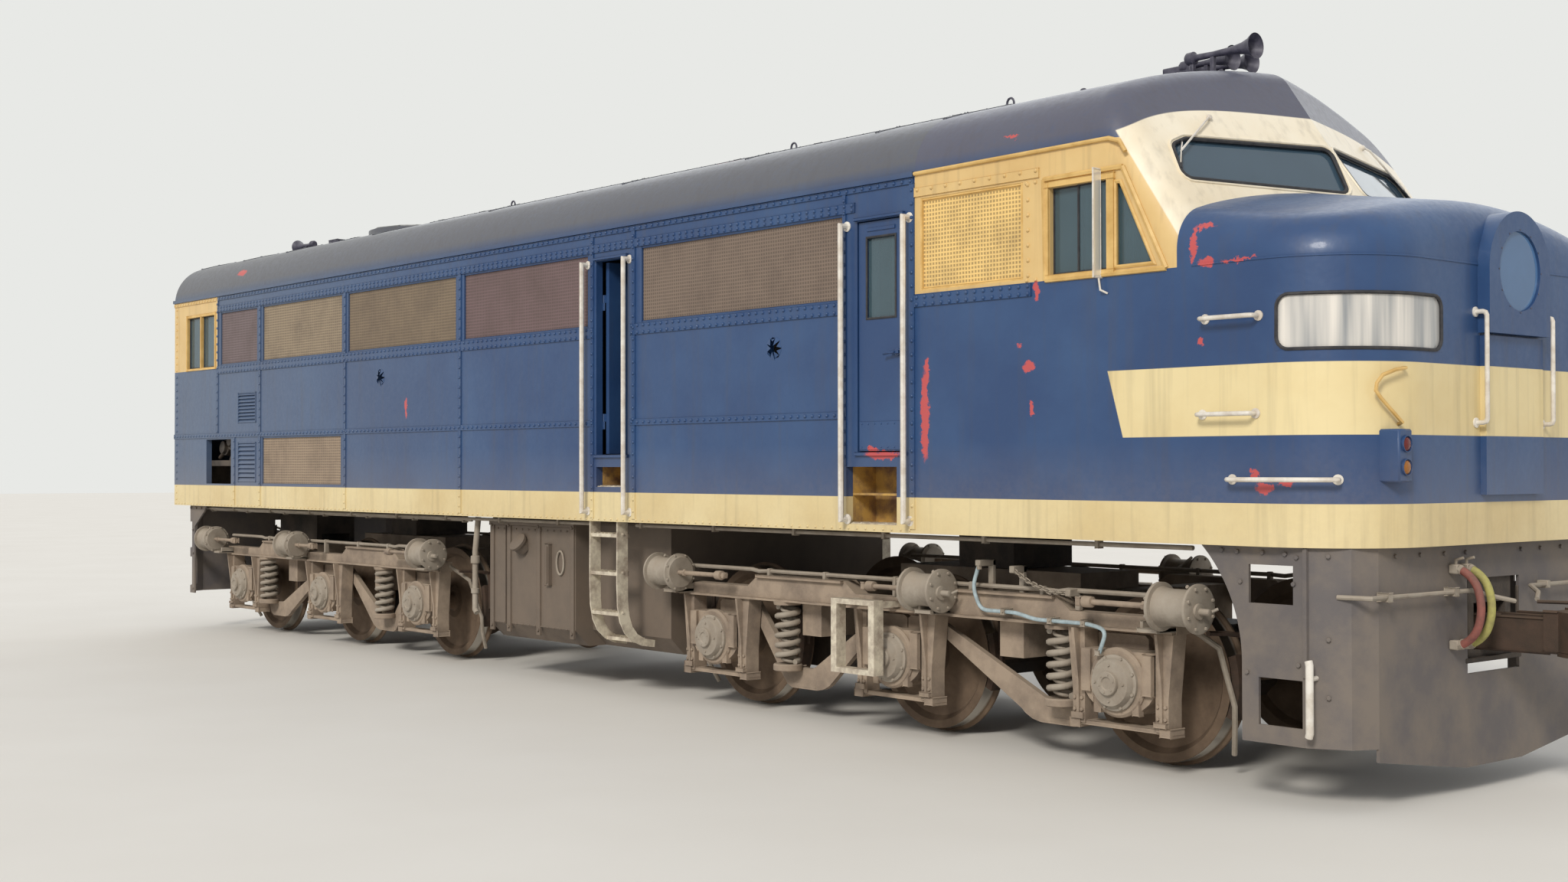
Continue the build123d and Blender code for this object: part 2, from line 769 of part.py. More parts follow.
# Nose and cab shells
number_x0 = 7030.0
number_y0 = 700.0
number_z0 = 2402.0
number_z1 = 2698.0
number_depth = 38.0
number_glass_in = 8.0
number_glass_t = 12.0
housing_x = 7600.0
housing_half_w = 330.0
housing_z0 = 2518.0
lamp_z = 2868.0
lamp_r = 220.0
lamp_depth = 45.0
housing_l = 700.0
cab_solid = cab_run(0)
nose_solid = nose_form(0, sill_z)
with BuildPart() as cab_space:
    add(cab_solid)
    block(cab_back_x - 10, cab_front_x, -half_w - 5, half_w + 5, seam_z, crown_z + 5)
with BuildPart() as nose_shell:
    add(nose_solid)
    add(cab_space.part, mode=Mode.SUBTRACT)
    add(nose_form(side_t, sill_z - 1), mode=Mode.SUBTRACT)
    with BuildPart(mode=Mode.PRIVATE) as windows:
        for side in (-1, 1):
            block(number_x0, nose_x + 50, side * number_y0, side * (half_w + 50), number_z0, number_z1)
        add(nose_run(number_depth, cab_back_x, number_z0 - 10, number_z1 + 10), mode=Mode.SUBTRACT)
    add(windows.part, mode=Mode.SUBTRACT)
keep(nose_shell, "nose_shell")
with BuildPart() as number_glass:
    add(nose_run(number_glass_in, cab_back_x, number_z0 + seat_gap, number_z1 - 2))
    add(
        nose_run(number_glass_in + number_glass_t, cab_back_x - 1, number_z0 - 10, number_z1 + 10),
        mode=Mode.SUBTRACT,
    )
    block(number_x0 + 1, nose_x + 50, -half_w, half_w, number_z0, number_z1, mode=Mode.INTERSECT)
    block(
        number_x0 - 50, nose_x + 50, -number_y0 - 1, number_y0 + 1,
        number_z0, number_z1, mode=Mode.SUBTRACT,
    )
keep(number_glass, "number_glass")

# Side windows of the cab: the sliding pair and the quarter light
slide_window = (5480.0, 5915.0, 2920.0, 3430.0)
quarter_window = ((5970.0, 2925.0), (6245.0, 2925.0), (6010.0, 3410.0), (5970.0, 3410.0))
# Corners of each windscreen on its plane: distance out from the centre, height up the slope
screen_corners = ((90, 25), (1290, 45), (1265, 300), (1150, 355), (60, 375))
pane_t = 8.0
pane_gap = 0.5


def quarter_face(side, inset):
    """Quarter-light outline on one side of the cab."""
    with BuildSketch(Plane.XZ.offset(-side * (half_w + 1))) as face:
        with BuildLine():
            Polyline(*quarter_window, close=True)
        make_face()
        offset(amount=-inset)
    return face.sketch


def screen_face(side, inset):
    """Windscreen outline on its raked plane, with rounded corners."""
    with BuildSketch(screen_plane(side)) as face:
        with BuildLine():
            Polyline(*[(across, side * up) for across, up in screen_corners], close=True)
        make_face()
        fillet(face.vertices(), 60)
        offset(amount=-inset)
    return face.sketch


with BuildPart() as cab_shell:
    add(cab_solid)
    add(cab_run(side_t), mode=Mode.SUBTRACT)
    for side in (-1, 1):
        for x0, x1, z0, z1 in (slide_window, cab_grille):
            block(x0, x1, side * (half_w - side_t - 1), side * (half_w + 1), z0, z1, mode=Mode.SUBTRACT)
        extrude(quarter_face(side, 0), amount=side * (side_t + 2), mode=Mode.SUBTRACT)
        extrude(screen_face(side, 0), amount=-side_t - 30, mode=Mode.SUBTRACT)
keep(cab_shell, "cab_shell")
with BuildPart() as windscreens:
    for side in (-1, 1):
        extrude(screen_face(side, pane_gap), amount=-20 - pane_t)
        extrude(screen_face(side, pane_gap - 1), amount=-20, mode=Mode.SUBTRACT)
keep(windscreens, "windscreens")

# Rear wall with its gangway opening and two windows
rear_door_half_w = 330.0
rear_door_top_z = 3560.0
rear_pane = (620.0, 1120.0, 2900.0, 3440.0)
rear_hinge_x = rear_x + side_t + hinge_in
rear_hinge_y = rear_door_half_w - hinge_out
with BuildPart() as rear_wall:
    add(body_run(side_t + seat_gap, sill_z, rear_x, rear_x + side_t))
    block(
        rear_x - 1, rear_x + side_t + 1, -rear_door_half_w, rear_door_half_w,
        door_bottom_z, rear_door_top_z, mode=Mode.SUBTRACT,
    )
    for side in (-1, 1):
        y0, y1, z0, z1 = rear_pane
        block(rear_x - 1, rear_x + side_t + 1, side * y0, side * y1, z0, z1, mode=Mode.SUBTRACT)
    for z in hinge_zs:
        hinge_barrel(rear_hinge_x, rear_hinge_y, z - barrel_h - seat_gap, 0, 1, -hinge_in)
keep(rear_wall, "rear_wall")

# Bulkhead between the engine room and the cab, with an open doorway
doorway = (-1250.0, -650.0, 3700.0)
with BuildPart() as bulkhead:
    add(body_run(side_t + seat_gap, floor_z, cab_back_x - bulkhead_t, cab_back_x))
    block(
        cab_back_x - bulkhead_t - 1, cab_back_x + 1, doorway[0], doorway[1],
        floor_z - 1, doorway[2], mode=Mode.SUBTRACT,
    )
keep(bulkhead, "bulkhead")

# Side glass: the cab's sliding pair and quarter lights and the rear windows
with BuildPart() as side_glass:
    for side in (-1, 1):
        x0, x1, z0, z1 = slide_window
        mid = (x0 + x1) / 2
        for left, right, inset in ((x0, mid + 15, 38), (mid - 15, x1, 24)):
            block(
                left + pane_gap, right - pane_gap,
                side * (half_w - inset), side * (half_w - inset - pane_t),
                z0 + seat_gap, z1 - pane_gap,
            )
        extrude(
            quarter_face(side, pane_gap).moved(Location((0, -side * 30, 0))),
            amount=side * pane_t,
        )
        x0, x1, z0, z1 = rear_window
        block(
            x0 + pane_gap, x1 - pane_gap, side * (half_w - 30), side * (half_w - 30 - pane_t),
            z0 + seat_gap, z1 - pane_gap,
        )
        y0, y1, z0, z1 = rear_pane
        block(
            rear_x + 20, rear_x + 20 + pane_t, side * (y0 + pane_gap), side * (y1 - pane_gap),
            z0 + seat_gap, z1 - pane_gap,
        )
keep(side_glass, "side_glass")

# Hinged doors: each leaf fills its opening less a running gap, with a window and hinge knuckles
door_window_z0 = 2760.0
door_window_z1 = 3290.0
door_rim = 75.0


def leaf_form(x0, x1, side, window):
    """One side door leaf, closed, with its barrels at the rear edge inside the wall."""
    out_y = side * (half_w - door_recess)
    in_y = side * (half_w - door_recess - door_t)
    left = x0 + door_gap
    right = x1 - door_gap
    with BuildPart() as form:
        block(left, right, in_y, out_y, door_bottom_z + door_gap, door_top_z - door_gap)
        if window:
            block(
                left + door_rim, right - door_rim, in_y - side, out_y + side,
                door_window_z0, door_window_z1, mode=Mode.SUBTRACT,
            )
        hinge_y = side * (half_w - side_t - hinge_in)
        for z in hinge_zs:
            hinge_barrel(x0 + hinge_out, hinge_y, z, 1, 0, in_y - hinge_y)
        rod(
            (right - 60, out_y, door_bottom_z + 640),
            (right - 60, out_y + side * 35, door_bottom_z + 640),
            12,
            flats=8,
        )
        block(
            right - 100, right - 20, out_y + side * 20, out_y + side * 36,
            door_bottom_z + 630, door_bottom_z + 650,
        )
    return form.part


def pane_form(x0, x1, side):
    """Glass of a side door's window."""
    with BuildPart() as form:
        mid = side * (half_w - door_recess - door_t / 2)
        block(
            x0 + door_gap + door_rim + pane_gap, x1 - door_gap - door_rim - pane_gap,
            mid - pane_t / 2, mid + pane_t / 2,
            door_window_z0 + seat_gap, door_window_z1 - pane_gap,
        )
    return form.part


def hinge_place(x0, side, turn):
    """Turn of a side door about its hinge line, in degrees about +Z."""
    line = Location((x0 + hinge_out, side * (half_w - side_t - hinge_in), 0))
    return line * Location((0, 0, 0), (0, 0, turn)) * line.inverse()


engine_door_open = 90.0
(_, engine_x0, engine_x1), (_, cab_x0, cab_x1) = door_rows
for side, name in side_names.items():
    turn = engine_door_open if side < 0 else 0.0
    with BuildPart() as engine_door:
        add(leaf_form(engine_x0, engine_x1, side, False).moved(hinge_place(engine_x0, side, turn)))
    keep(engine_door, f"engine_door_{name}")
    with BuildPart() as cab_door:
        add(leaf_form(cab_x0, cab_x1, side, True))
    keep(cab_door, f"cab_door_{name}")
    with BuildPart() as door_glass:
        add(pane_form(cab_x0, cab_x1, side))
    keep(door_glass, f"cab_door_glass_{name}")
with BuildPart() as rear_door:
    y = rear_door_half_w - door_gap
    block(rear_x + 10, rear_x + 10 + door_t, -y, y, door_bottom_z + door_gap, rear_door_top_z - door_gap)
    rod((rear_x - 25, -y + 70, 2500), (rear_x + 10, -y + 70, 2500), 12, flats=8)
    block(rear_x - 26, rear_x - 10, -y + 20, -y + 110, 2490, 2510)
    for z in hinge_zs:
        hinge_barrel(rear_hinge_x, rear_hinge_y, z, 0, -1, rear_x + 10 + door_t - rear_hinge_x)
keep(rear_door, "rear_door")

# Step pockets below the side doors
pocket_depth = 220.0
pocket_wall = 12.0
with BuildPart() as step_pockets:
    for side in (-1, 1):
        out_y = half_w - side_t - seat_gap
        for x0, x1, z0, z1 in pocket_rows:
            block(
                x0 - pocket_wall, x1 + pocket_wall, side * out_y,
                side * (out_y - pocket_depth), z0 - pocket_wall, z1 + pocket_wall,
            )
            block(
                x0, x1, side * (out_y + 1), side * (out_y - pocket_depth + pocket_wall),
                z0, z1, mode=Mode.SUBTRACT,
            )
            if z1 - z0 > 300:
                tread_z = (z0 + z1) / 2
                block(x0, x1, side * out_y, side * (out_y - 150), tread_z, tread_z + 14)
keep(step_pockets, "step_pockets")

# Heavy masses and cab fittings
fan_drive_top_z = fan_z - 160.0
diesel_x = -2700.0
diesel_l = 6000.0
diesel_half_w = 700.0
diesel_top_z = 3380.0
diesel_corner = 260.0
with BuildPart() as engine_block:
    with BuildSketch(Plane.YZ.offset(diesel_x)) as casing:
        with Locations((0, (floor_z + diesel_top_z) / 2)):
            Rectangle(2 * diesel_half_w, diesel_top_z - floor_z)
        chamfer(casing.vertices().group_by(Axis.Y)[-1], diesel_corner)
    extrude(amount=diesel_l)
keep(engine_block, "engine_block")
with BuildPart() as fan_drive:
    block(fan_x - 240, fan_x + 240, -240, 240, floor_z, fan_drive_top_z - 460)
    rod((fan_x, 0, fan_drive_top_z - 461), (fan_x, 0, fan_drive_top_z), 90, flats=12)
    rod((fan_x, 0, fan_drive_top_z - 150), (fan_x, 0, fan_drive_top_z + 1), 31, mode=Mode.SUBTRACT)
keep(fan_drive, "fan_drive")
desk_x0 = 5900.0
with BuildPart() as control_desk:
    with BuildSketch(Plane.XZ.offset(-1150)):
        with BuildLine():
            Polyline(
                (desk_x0, floor_z), (desk_x0, 2680), (desk_x0 + 90, 2860), (desk_x0 + 330, 2900),
                (desk_x0 + 330, floor_z), close=True,
            )
        make_face()
    extrude(amount=2300)
keep(control_desk, "control_desk")
seat_x = 5250.0
seat_y = 820.0
seat_z = 2320.0
seat_half_w = 230.0
with BuildPart() as seats:
    for side in (-1, 1):
        y = side * seat_y
        rod((seat_x + 40, y, floor_z), (seat_x + 40, y, seat_z), 50, flats=10)
        block(seat_x - 190, seat_x + 250, y - seat_half_w, y + seat_half_w, seat_z, seat_z + 100)
        back_half_w = seat_half_w - 10
        block(seat_x - 260, seat_x - 170, y - back_half_w, y + back_half_w, seat_z + 40, seat_z + 640)
keep(seats, "seats")

# Fuel tank between the bogies, narrowed beside the side ladders
tank_z0 = 338.0
tank_x0 = -1070.0
tank_x1 = 1300.0
tank_wide_x1 = 240.0
tank_half_w = 1290.0
with BuildPart() as fuel_tank:
    for x0, x1, half in ((tank_x0, tank_wide_x1, tank_half_w), (tank_wide_x1 - 1, tank_x1, 1120.0)):
        with BuildSketch(Plane.YZ.offset(x0)) as section:
            with Locations((0, (tank_z0 + sill_z) / 2)):
                Rectangle(2 * half, sill_z - tank_z0 - 2 * seat_gap)
            chamfer(section.vertices().group_by(Axis.Y)[0], 130)
            fillet(section.vertices().group_by(Axis.Y)[-1], 60)
        extrude(amount=x1 - x0)
    for side in (-1, 1):
        block(
            tank_x0 + 240, tank_x0 + 330, side * (tank_half_w - 50), side * (tank_half_w + 1),
            tank_z0 - 1, sill_z, mode=Mode.SUBTRACT,
        )
keep(fuel_tank, "fuel_tank")

# Hanging ladders in line with the engine-room doors
ladder_x0 = 670.0
ladder_x1 = 1050.0
ladder_top_y = 1445.0
ladder_foot_y = 1235.0
ladder_foot_z = 385.0
ladder_bar = 62.0
with BuildPart() as side_ladders:
    for side in (-1, 1):
        top = sill_z - seat_gap
        for x in (ladder_x0, ladder_x1 - ladder_bar):
            with BuildSketch(Plane.YZ.offset(x)) as bar:
                with BuildLine():
                    Polyline(
                        (side * ladder_top_y, top), (side * (ladder_top_y - 26), top),
                        (side * (ladder_foot_y - 26), ladder_foot_z), (side * ladder_foot_y, ladder_foot_z),
                        close=True,
                    )
                make_face()
            extrude(bar.sketch, amount=ladder_bar)
        for share in (0.0, 0.34, 0.68):
            z = ladder_foot_z + share * (top - ladder_foot_z)
            y = ladder_foot_y + share * (ladder_top_y - ladder_foot_y)
            block(ladder_x0 + 10, ladder_x1 - 10, side * (y - 120), side * (y - 2), z, z + 34)
keep(side_ladders, "side_ladders")

# Pilots: a bent plate below each headstock, its side view cut by wheel clearance and step holes
pilot_t = 18.0
pilot_half_w = 1405.0
front_pilot_x = 7430.0
rear_pilot_x = 7540.0
front_pilot_z = 335.0
rear_pilot_z = 400.0
arch_x = 6490.0
arch_w = 275.0
stanchion_x = 7150.0
fold_x = 7148.0


def pilot_plate(face_x, bottom_z):
    """The plate bent round one end, seen in plan, over its whole height."""
    wide = pilot_half_w
    bends = ((face_x - 270, wide), (face_x - 70, wide - 110), (face_x, wide - 250))
    start = (face_x - 1200, wide)
    half = (start, *bends)
    with BuildPart() as form:
        with BuildSketch(Plane.XY.offset(bottom_z)):
            with BuildLine():
                Polyline(*half, *[(x, -y) for x, y in reversed(half)], close=True)
            make_face()
            offset(amount=-pilot_t, kind=Kind.INTERSECTION, mode=Mode.SUBTRACT)
        extrude(amount=sill_z - seat_gap - bottom_z)
        block(
            face_x - 120, face_x + 60, -draft_half_w - 110, draft_half_w + 110,
            draft_z0 - 120, draft_z1 + 140, mode=Mode.SUBTRACT,
        )
    return form.part


def side_view(outline, holes):
    """Solid right across the track of a pilot's side view, less its step holes."""
    with BuildPart() as form:
        with BuildSketch(Plane.XZ.offset(-pilot_half_w - 5)):
            add(outline)
            for x0, x1, z0, z1 in holes:
                with Locations(((x0 + x1) / 2, (z0 + z1) / 2)):
                    Rectangle(x1 - x0, z1 - z0, mode=Mode.SUBTRACT)
        extrude(amount=2 * pilot_half_w + 10)
    return form.part


with BuildSketch() as front_outline:
    with BuildLine():
        foot = (arch_x + arch_w, front_pilot_z)
        low = (arch_x + arch_w, 760.0)
        high = (arch_x, sill_z + 10)
        ThreePointArc(high, (arch_x + 205, 1090.0), low)
        Polyline(low, foot, (front_pilot_x + 5, front_pilot_z), (front_pilot_x + 5, sill_z + 10), high)
    make_face()
front_holes = (
    (front_pilot_x - 620, front_pilot_x - 345, 1070.0, 1275.0),
    (front_pilot_x - 560, front_pilot_x - 290, 430.0, 680.0),
)
with BuildSketch() as rear_outline:
    with BuildLine():
        Polyline(
            (stanchion_x - 320, sill_z + 10), (stanchion_x - 260, sill_z - 60),
            (stanchion_x, sill_z - 230), (stanchion_x, rear_pilot_z),
            (rear_pilot_x + 5, rear_pilot_z), (rear_pilot_x + 5, sill_z + 10), close=True,
        )
    make_face()
rear_holes = (
    (stanchion_x + 70, stanchion_x + 330, 900.0, 1190.0),
    (stanchion_x + 70, stanchion_x + 330, 480.0, 800.0),
)
with BuildPart() as rear_pilot:
    add(pilot_plate(rear_pilot_x, rear_pilot_z))
    add(side_view(rear_outline.sketch, rear_holes), mode=Mode.INTERSECT)
with BuildPart() as front_pilot:
    add(pilot_plate(front_pilot_x, front_pilot_z))
    add(side_view(front_outline.sketch, front_holes), mode=Mode.INTERSECT)
    block(
        fold_x, fold_x + seat_gap, -pilot_half_w - 1, pilot_half_w + 1,
        front_pilot_z - 1, sill_z, mode=Mode.SUBTRACT,
    )
    blade_half_w = pilot_half_w - 250
    with BuildSketch(Plane.YZ.offset(front_pilot_x - pilot_t)) as blade:
        with BuildLine():
            Polyline(
                (-blade_half_w, front_pilot_z + 1), (-blade_half_w, 265), (-300, 150),
                (300, 150), (blade_half_w, 265), (blade_half_w, front_pilot_z + 1), close=True,
            )
        make_face()
    extrude(blade.sketch, amount=pilot_t)
with BuildPart() as pilots:
    add(front_pilot.part)
    add(rear_pilot.part.mirror(Plane.YZ))
keep(pilots, "pilots")

# Air hoses hung from their cocks on the end plates, each hooked back on a bracket below
air_hose_r = 22.0
air_hose_rows = (340.0, 450.0)
air_hose_top_z = 1240.0
air_hose_foot_z = 830.0
air_hose_sag = 120.0
air_hose_stub = 55.0
with BuildPart() as brake_hoses:
    for way, face_x in ((1, front_pilot_x + seat_gap), (-1, rear_pilot_x + seat_gap)):
        for across in air_hose_rows:
            y = -way * across
            root = way * (face_x + air_hose_stub)
            middle = (air_hose_top_z + air_hose_foot_z) / 2
            with BuildLine() as run:
                ThreePointArc(
                    (root, y, air_hose_top_z),
                    (root + way * air_hose_sag, y, middle),
                    (root, y, air_hose_foot_z),
                )
            with BuildSketch(Plane(origin=run.line @ 0, z_dir=run.line % 0)) as section:
                RegularPolygon(air_hose_r, 8)
            sweep(section.sketch, path=run.line)
            for z in (air_hose_top_z, air_hose_foot_z):
                block(way * face_x, root + way * 20, y - 30, y + 30, z - 30, z + 30)
keep(brake_hoses, "brake_hoses")

# Headlight housing with its lens, and the marker lights on the nose's corners
with BuildPart() as headlight_housing:
    with BuildSketch(Plane.YZ.offset(housing_x - housing_l)) as arch:
        with Locations((0, lamp_z)):
            Circle(housing_half_w)
        with Locations((0, (lamp_z + housing_z0) / 2)):
            Rectangle(2 * housing_half_w, lamp_z - housing_z0)
    extrude(arch.sketch, amount=housing_l)
    add(nose_solid, mode=Mode.SUBTRACT)
    add(cab_solid, mode=Mode.SUBTRACT)
    rod((housing_x + 1, 0, lamp_z), (housing_x - lamp_depth, 0, lamp_z), lamp_r, mode=Mode.SUBTRACT)
    block(nose_x, nose_x + 35, -housing_half_w + 20, housing_half_w - 20, stripe_z + 40, housing_z0 - 12)
keep(headlight_housing, "headlight_housing")
with BuildPart() as headlight_glass:
    rod((housing_x - lamp_depth + seat_gap, 0, lamp_z), (housing_x - 14, 0, lamp_z), lamp_r - 1)
keep(headlight_glass, "headlight_glass")
marker_y = 1120.0
marker_z0 = 1715.0
marker_z1 = 1985.0
with BuildPart() as marker_lights:
    for side in (-1, 1):
        y = side * marker_y
        block(7300, 7565, y - 60, y + 60, marker_z0, marker_z1)
    add(nose_solid, mode=Mode.SUBTRACT)
    for side in (-1, 1):
        for z in (1790, 1910):
            rod((7565, side * marker_y, z), (7585, side * marker_y, z), 34, flats=12)
keep(marker_lights, "marker_lights")

# Handrails beside the doors, grab irons and loop rails on the nose
rail_r = 19.0
rail_stand = 62.0
rail_rows = (690.0, 1250.0, 3715.0, 4305.0)
with BuildPart() as handrails:
    for side in (-1, 1):
        wall = side * half_w
        out = side * (half_w + rail_stand)
        for x in rail_rows:
            rail(((x, wall, 1450), (x, out, 1450), (x, out, 3380), (x, wall, 3380)), rail_r)
keep(handrails, "handrails")
grab_r = 13.0
front_bar_y = 360.0
front_bar_zs = (2030.0, 2630.0)
grab_rows = (
    # x0, x1, height
    (6590.0, 6930.0, 2590.0),
    (6570.0, 6910.0, 2075.0),
    (6750.0, 6950.0, 1735.0),
)
with BuildPart() as grab_irons:
    for side in (-1, 1):
        wall = side * half_w
        out = side * (half_w + 70)
        for x0, x1, z in grab_rows:
            rail(((x0, wall, z), (x0, out, z), (x1, out, z), (x1, wall, z)), grab_r)
        y = side * front_bar_y
        out = nose_x + 70
        z0, z1 = front_bar_zs
        rail(((nose_x, y, z1), (out, y, z1), (out, y, z0), (nose_x, y, z0)), grab_r)
keep(grab_irons, "grab_irons")


# Horns: trumpets that lie on short posts, ahead of the cab's crown and over the rear end
def horn_form(x, y, z, length, way):
    """One trumpet whose bell faces along X."""
    rows = (
        # distance from the closed end, radius
        (0, 34),
        (90, 20),
        (length - 90, 32),
        (length, 80),
    )
    with BuildPart() as form:
        for along, radius in rows:
            with BuildSketch(Plane.YZ.offset(way * along)):
                RegularPolygon(radius, 12)
        loft(ruled=True)
    return form.part.moved(Location((x, y, z)))


def roof_z(y):
    """Height of the roof's outer skin at y."""
    return roof_centre_z + sqrt(roof_r**2 - y**2)


horn_rows = (
    # x of the closed end, y, height over the roof, length, way the bell faces
    (5480.0, -170.0, 150.0, 520.0, 1),
    (5300.0, 170.0, 150.0, 430.0, 1),
    (-6750.0, -170.0, 120.0, 420.0, -1),
    (-6550.0, 170.0, 120.0, 360.0, -1),
)
with BuildPart() as horns:
    for x, y, height, length, way in horn_rows:
        z = roof_z(y) + height
        add(horn_form(x, y, z, length, way))
        for post in (x + way * 45, x + way * 200):
            block(post - 14, post + 14, y - 14, y + 14, roof_z(y) - 10, z)
    add(cab_solid, mode=Mode.SUBTRACT)
    add(body_run(0, gutter_z, rear_x, cab_back_x), mode=Mode.SUBTRACT)
keep(horns, "horns")
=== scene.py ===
import math

import bmesh
import bpy
from mathutils import Matrix, Vector


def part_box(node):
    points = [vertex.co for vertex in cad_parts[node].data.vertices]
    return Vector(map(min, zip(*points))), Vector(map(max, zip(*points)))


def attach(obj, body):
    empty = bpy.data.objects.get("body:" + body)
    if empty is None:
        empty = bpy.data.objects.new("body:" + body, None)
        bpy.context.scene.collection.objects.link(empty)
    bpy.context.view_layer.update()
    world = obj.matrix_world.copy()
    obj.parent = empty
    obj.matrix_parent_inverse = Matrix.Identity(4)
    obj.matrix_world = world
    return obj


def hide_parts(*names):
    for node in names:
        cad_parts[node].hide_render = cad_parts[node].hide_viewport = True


bl_info = {
    "name": "Diesel locomotive",
    "version": (1, 0, 0),
    "blender": (4, 5, 0),
    "location": "View3D > Sidebar > Locomotive",
    "description": "Dresses the frame of a six-axle diesel locomotive with paint, fittings and running gear",
    "category": "Object",
}

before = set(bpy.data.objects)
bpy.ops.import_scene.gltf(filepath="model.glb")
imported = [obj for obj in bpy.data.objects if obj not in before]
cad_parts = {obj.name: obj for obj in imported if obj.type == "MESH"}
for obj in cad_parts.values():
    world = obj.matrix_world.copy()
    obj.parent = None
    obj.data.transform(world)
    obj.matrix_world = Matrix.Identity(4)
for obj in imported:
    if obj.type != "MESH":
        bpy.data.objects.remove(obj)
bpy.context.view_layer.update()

# Places in millimetres, in the frame's axes: +X to the nose, +Y to the driver's left, +Z up
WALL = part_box("side_left")[1].y * 1000
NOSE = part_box("nose_shell")[1].x * 1000
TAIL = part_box("rear_wall")[0].x * 1000
STRIPE = 1600.0
EAVE = 3633.0
CAB_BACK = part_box("cab_shell")[0].x * 1000
BOGIES = (
    # end, matrix from the bogie's own axes to the frame's
    ("front", Matrix.Translation((3850.0, 0, 0))),
    ("rear", Matrix.Translation((-4420.0, 0, 0)) @ Matrix.Rotation(math.pi, 4, "Z")),
)
AXLE_STEP = 1905.0
AXLES = (-AXLE_STEP, 0.0, AXLE_STEP)
FRAME_SIDE = 1190.0  # outer face of a bogie's frame
FRAME_LOW, FRAME_TOP = 838.0, 1008.0  # the frame's lower edge, and the height of the brake cylinders
FRAME_END = 2319.0
TANK_HALF = 1290.0
PILOT_FRONT, PILOT_REAR, PILOT_HALF = 7430.0, -7540.0, 1405.0
COUPLER_FACE = 8150.0
CROWN = 4228.0  # top of the roof
AXLE_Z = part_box("wheelset_front_1")[1].z * 500
SIDES = (("right", -1), ("left", 1))
GAP = 0.3  # clearance kept between a fitting and what it hangs on


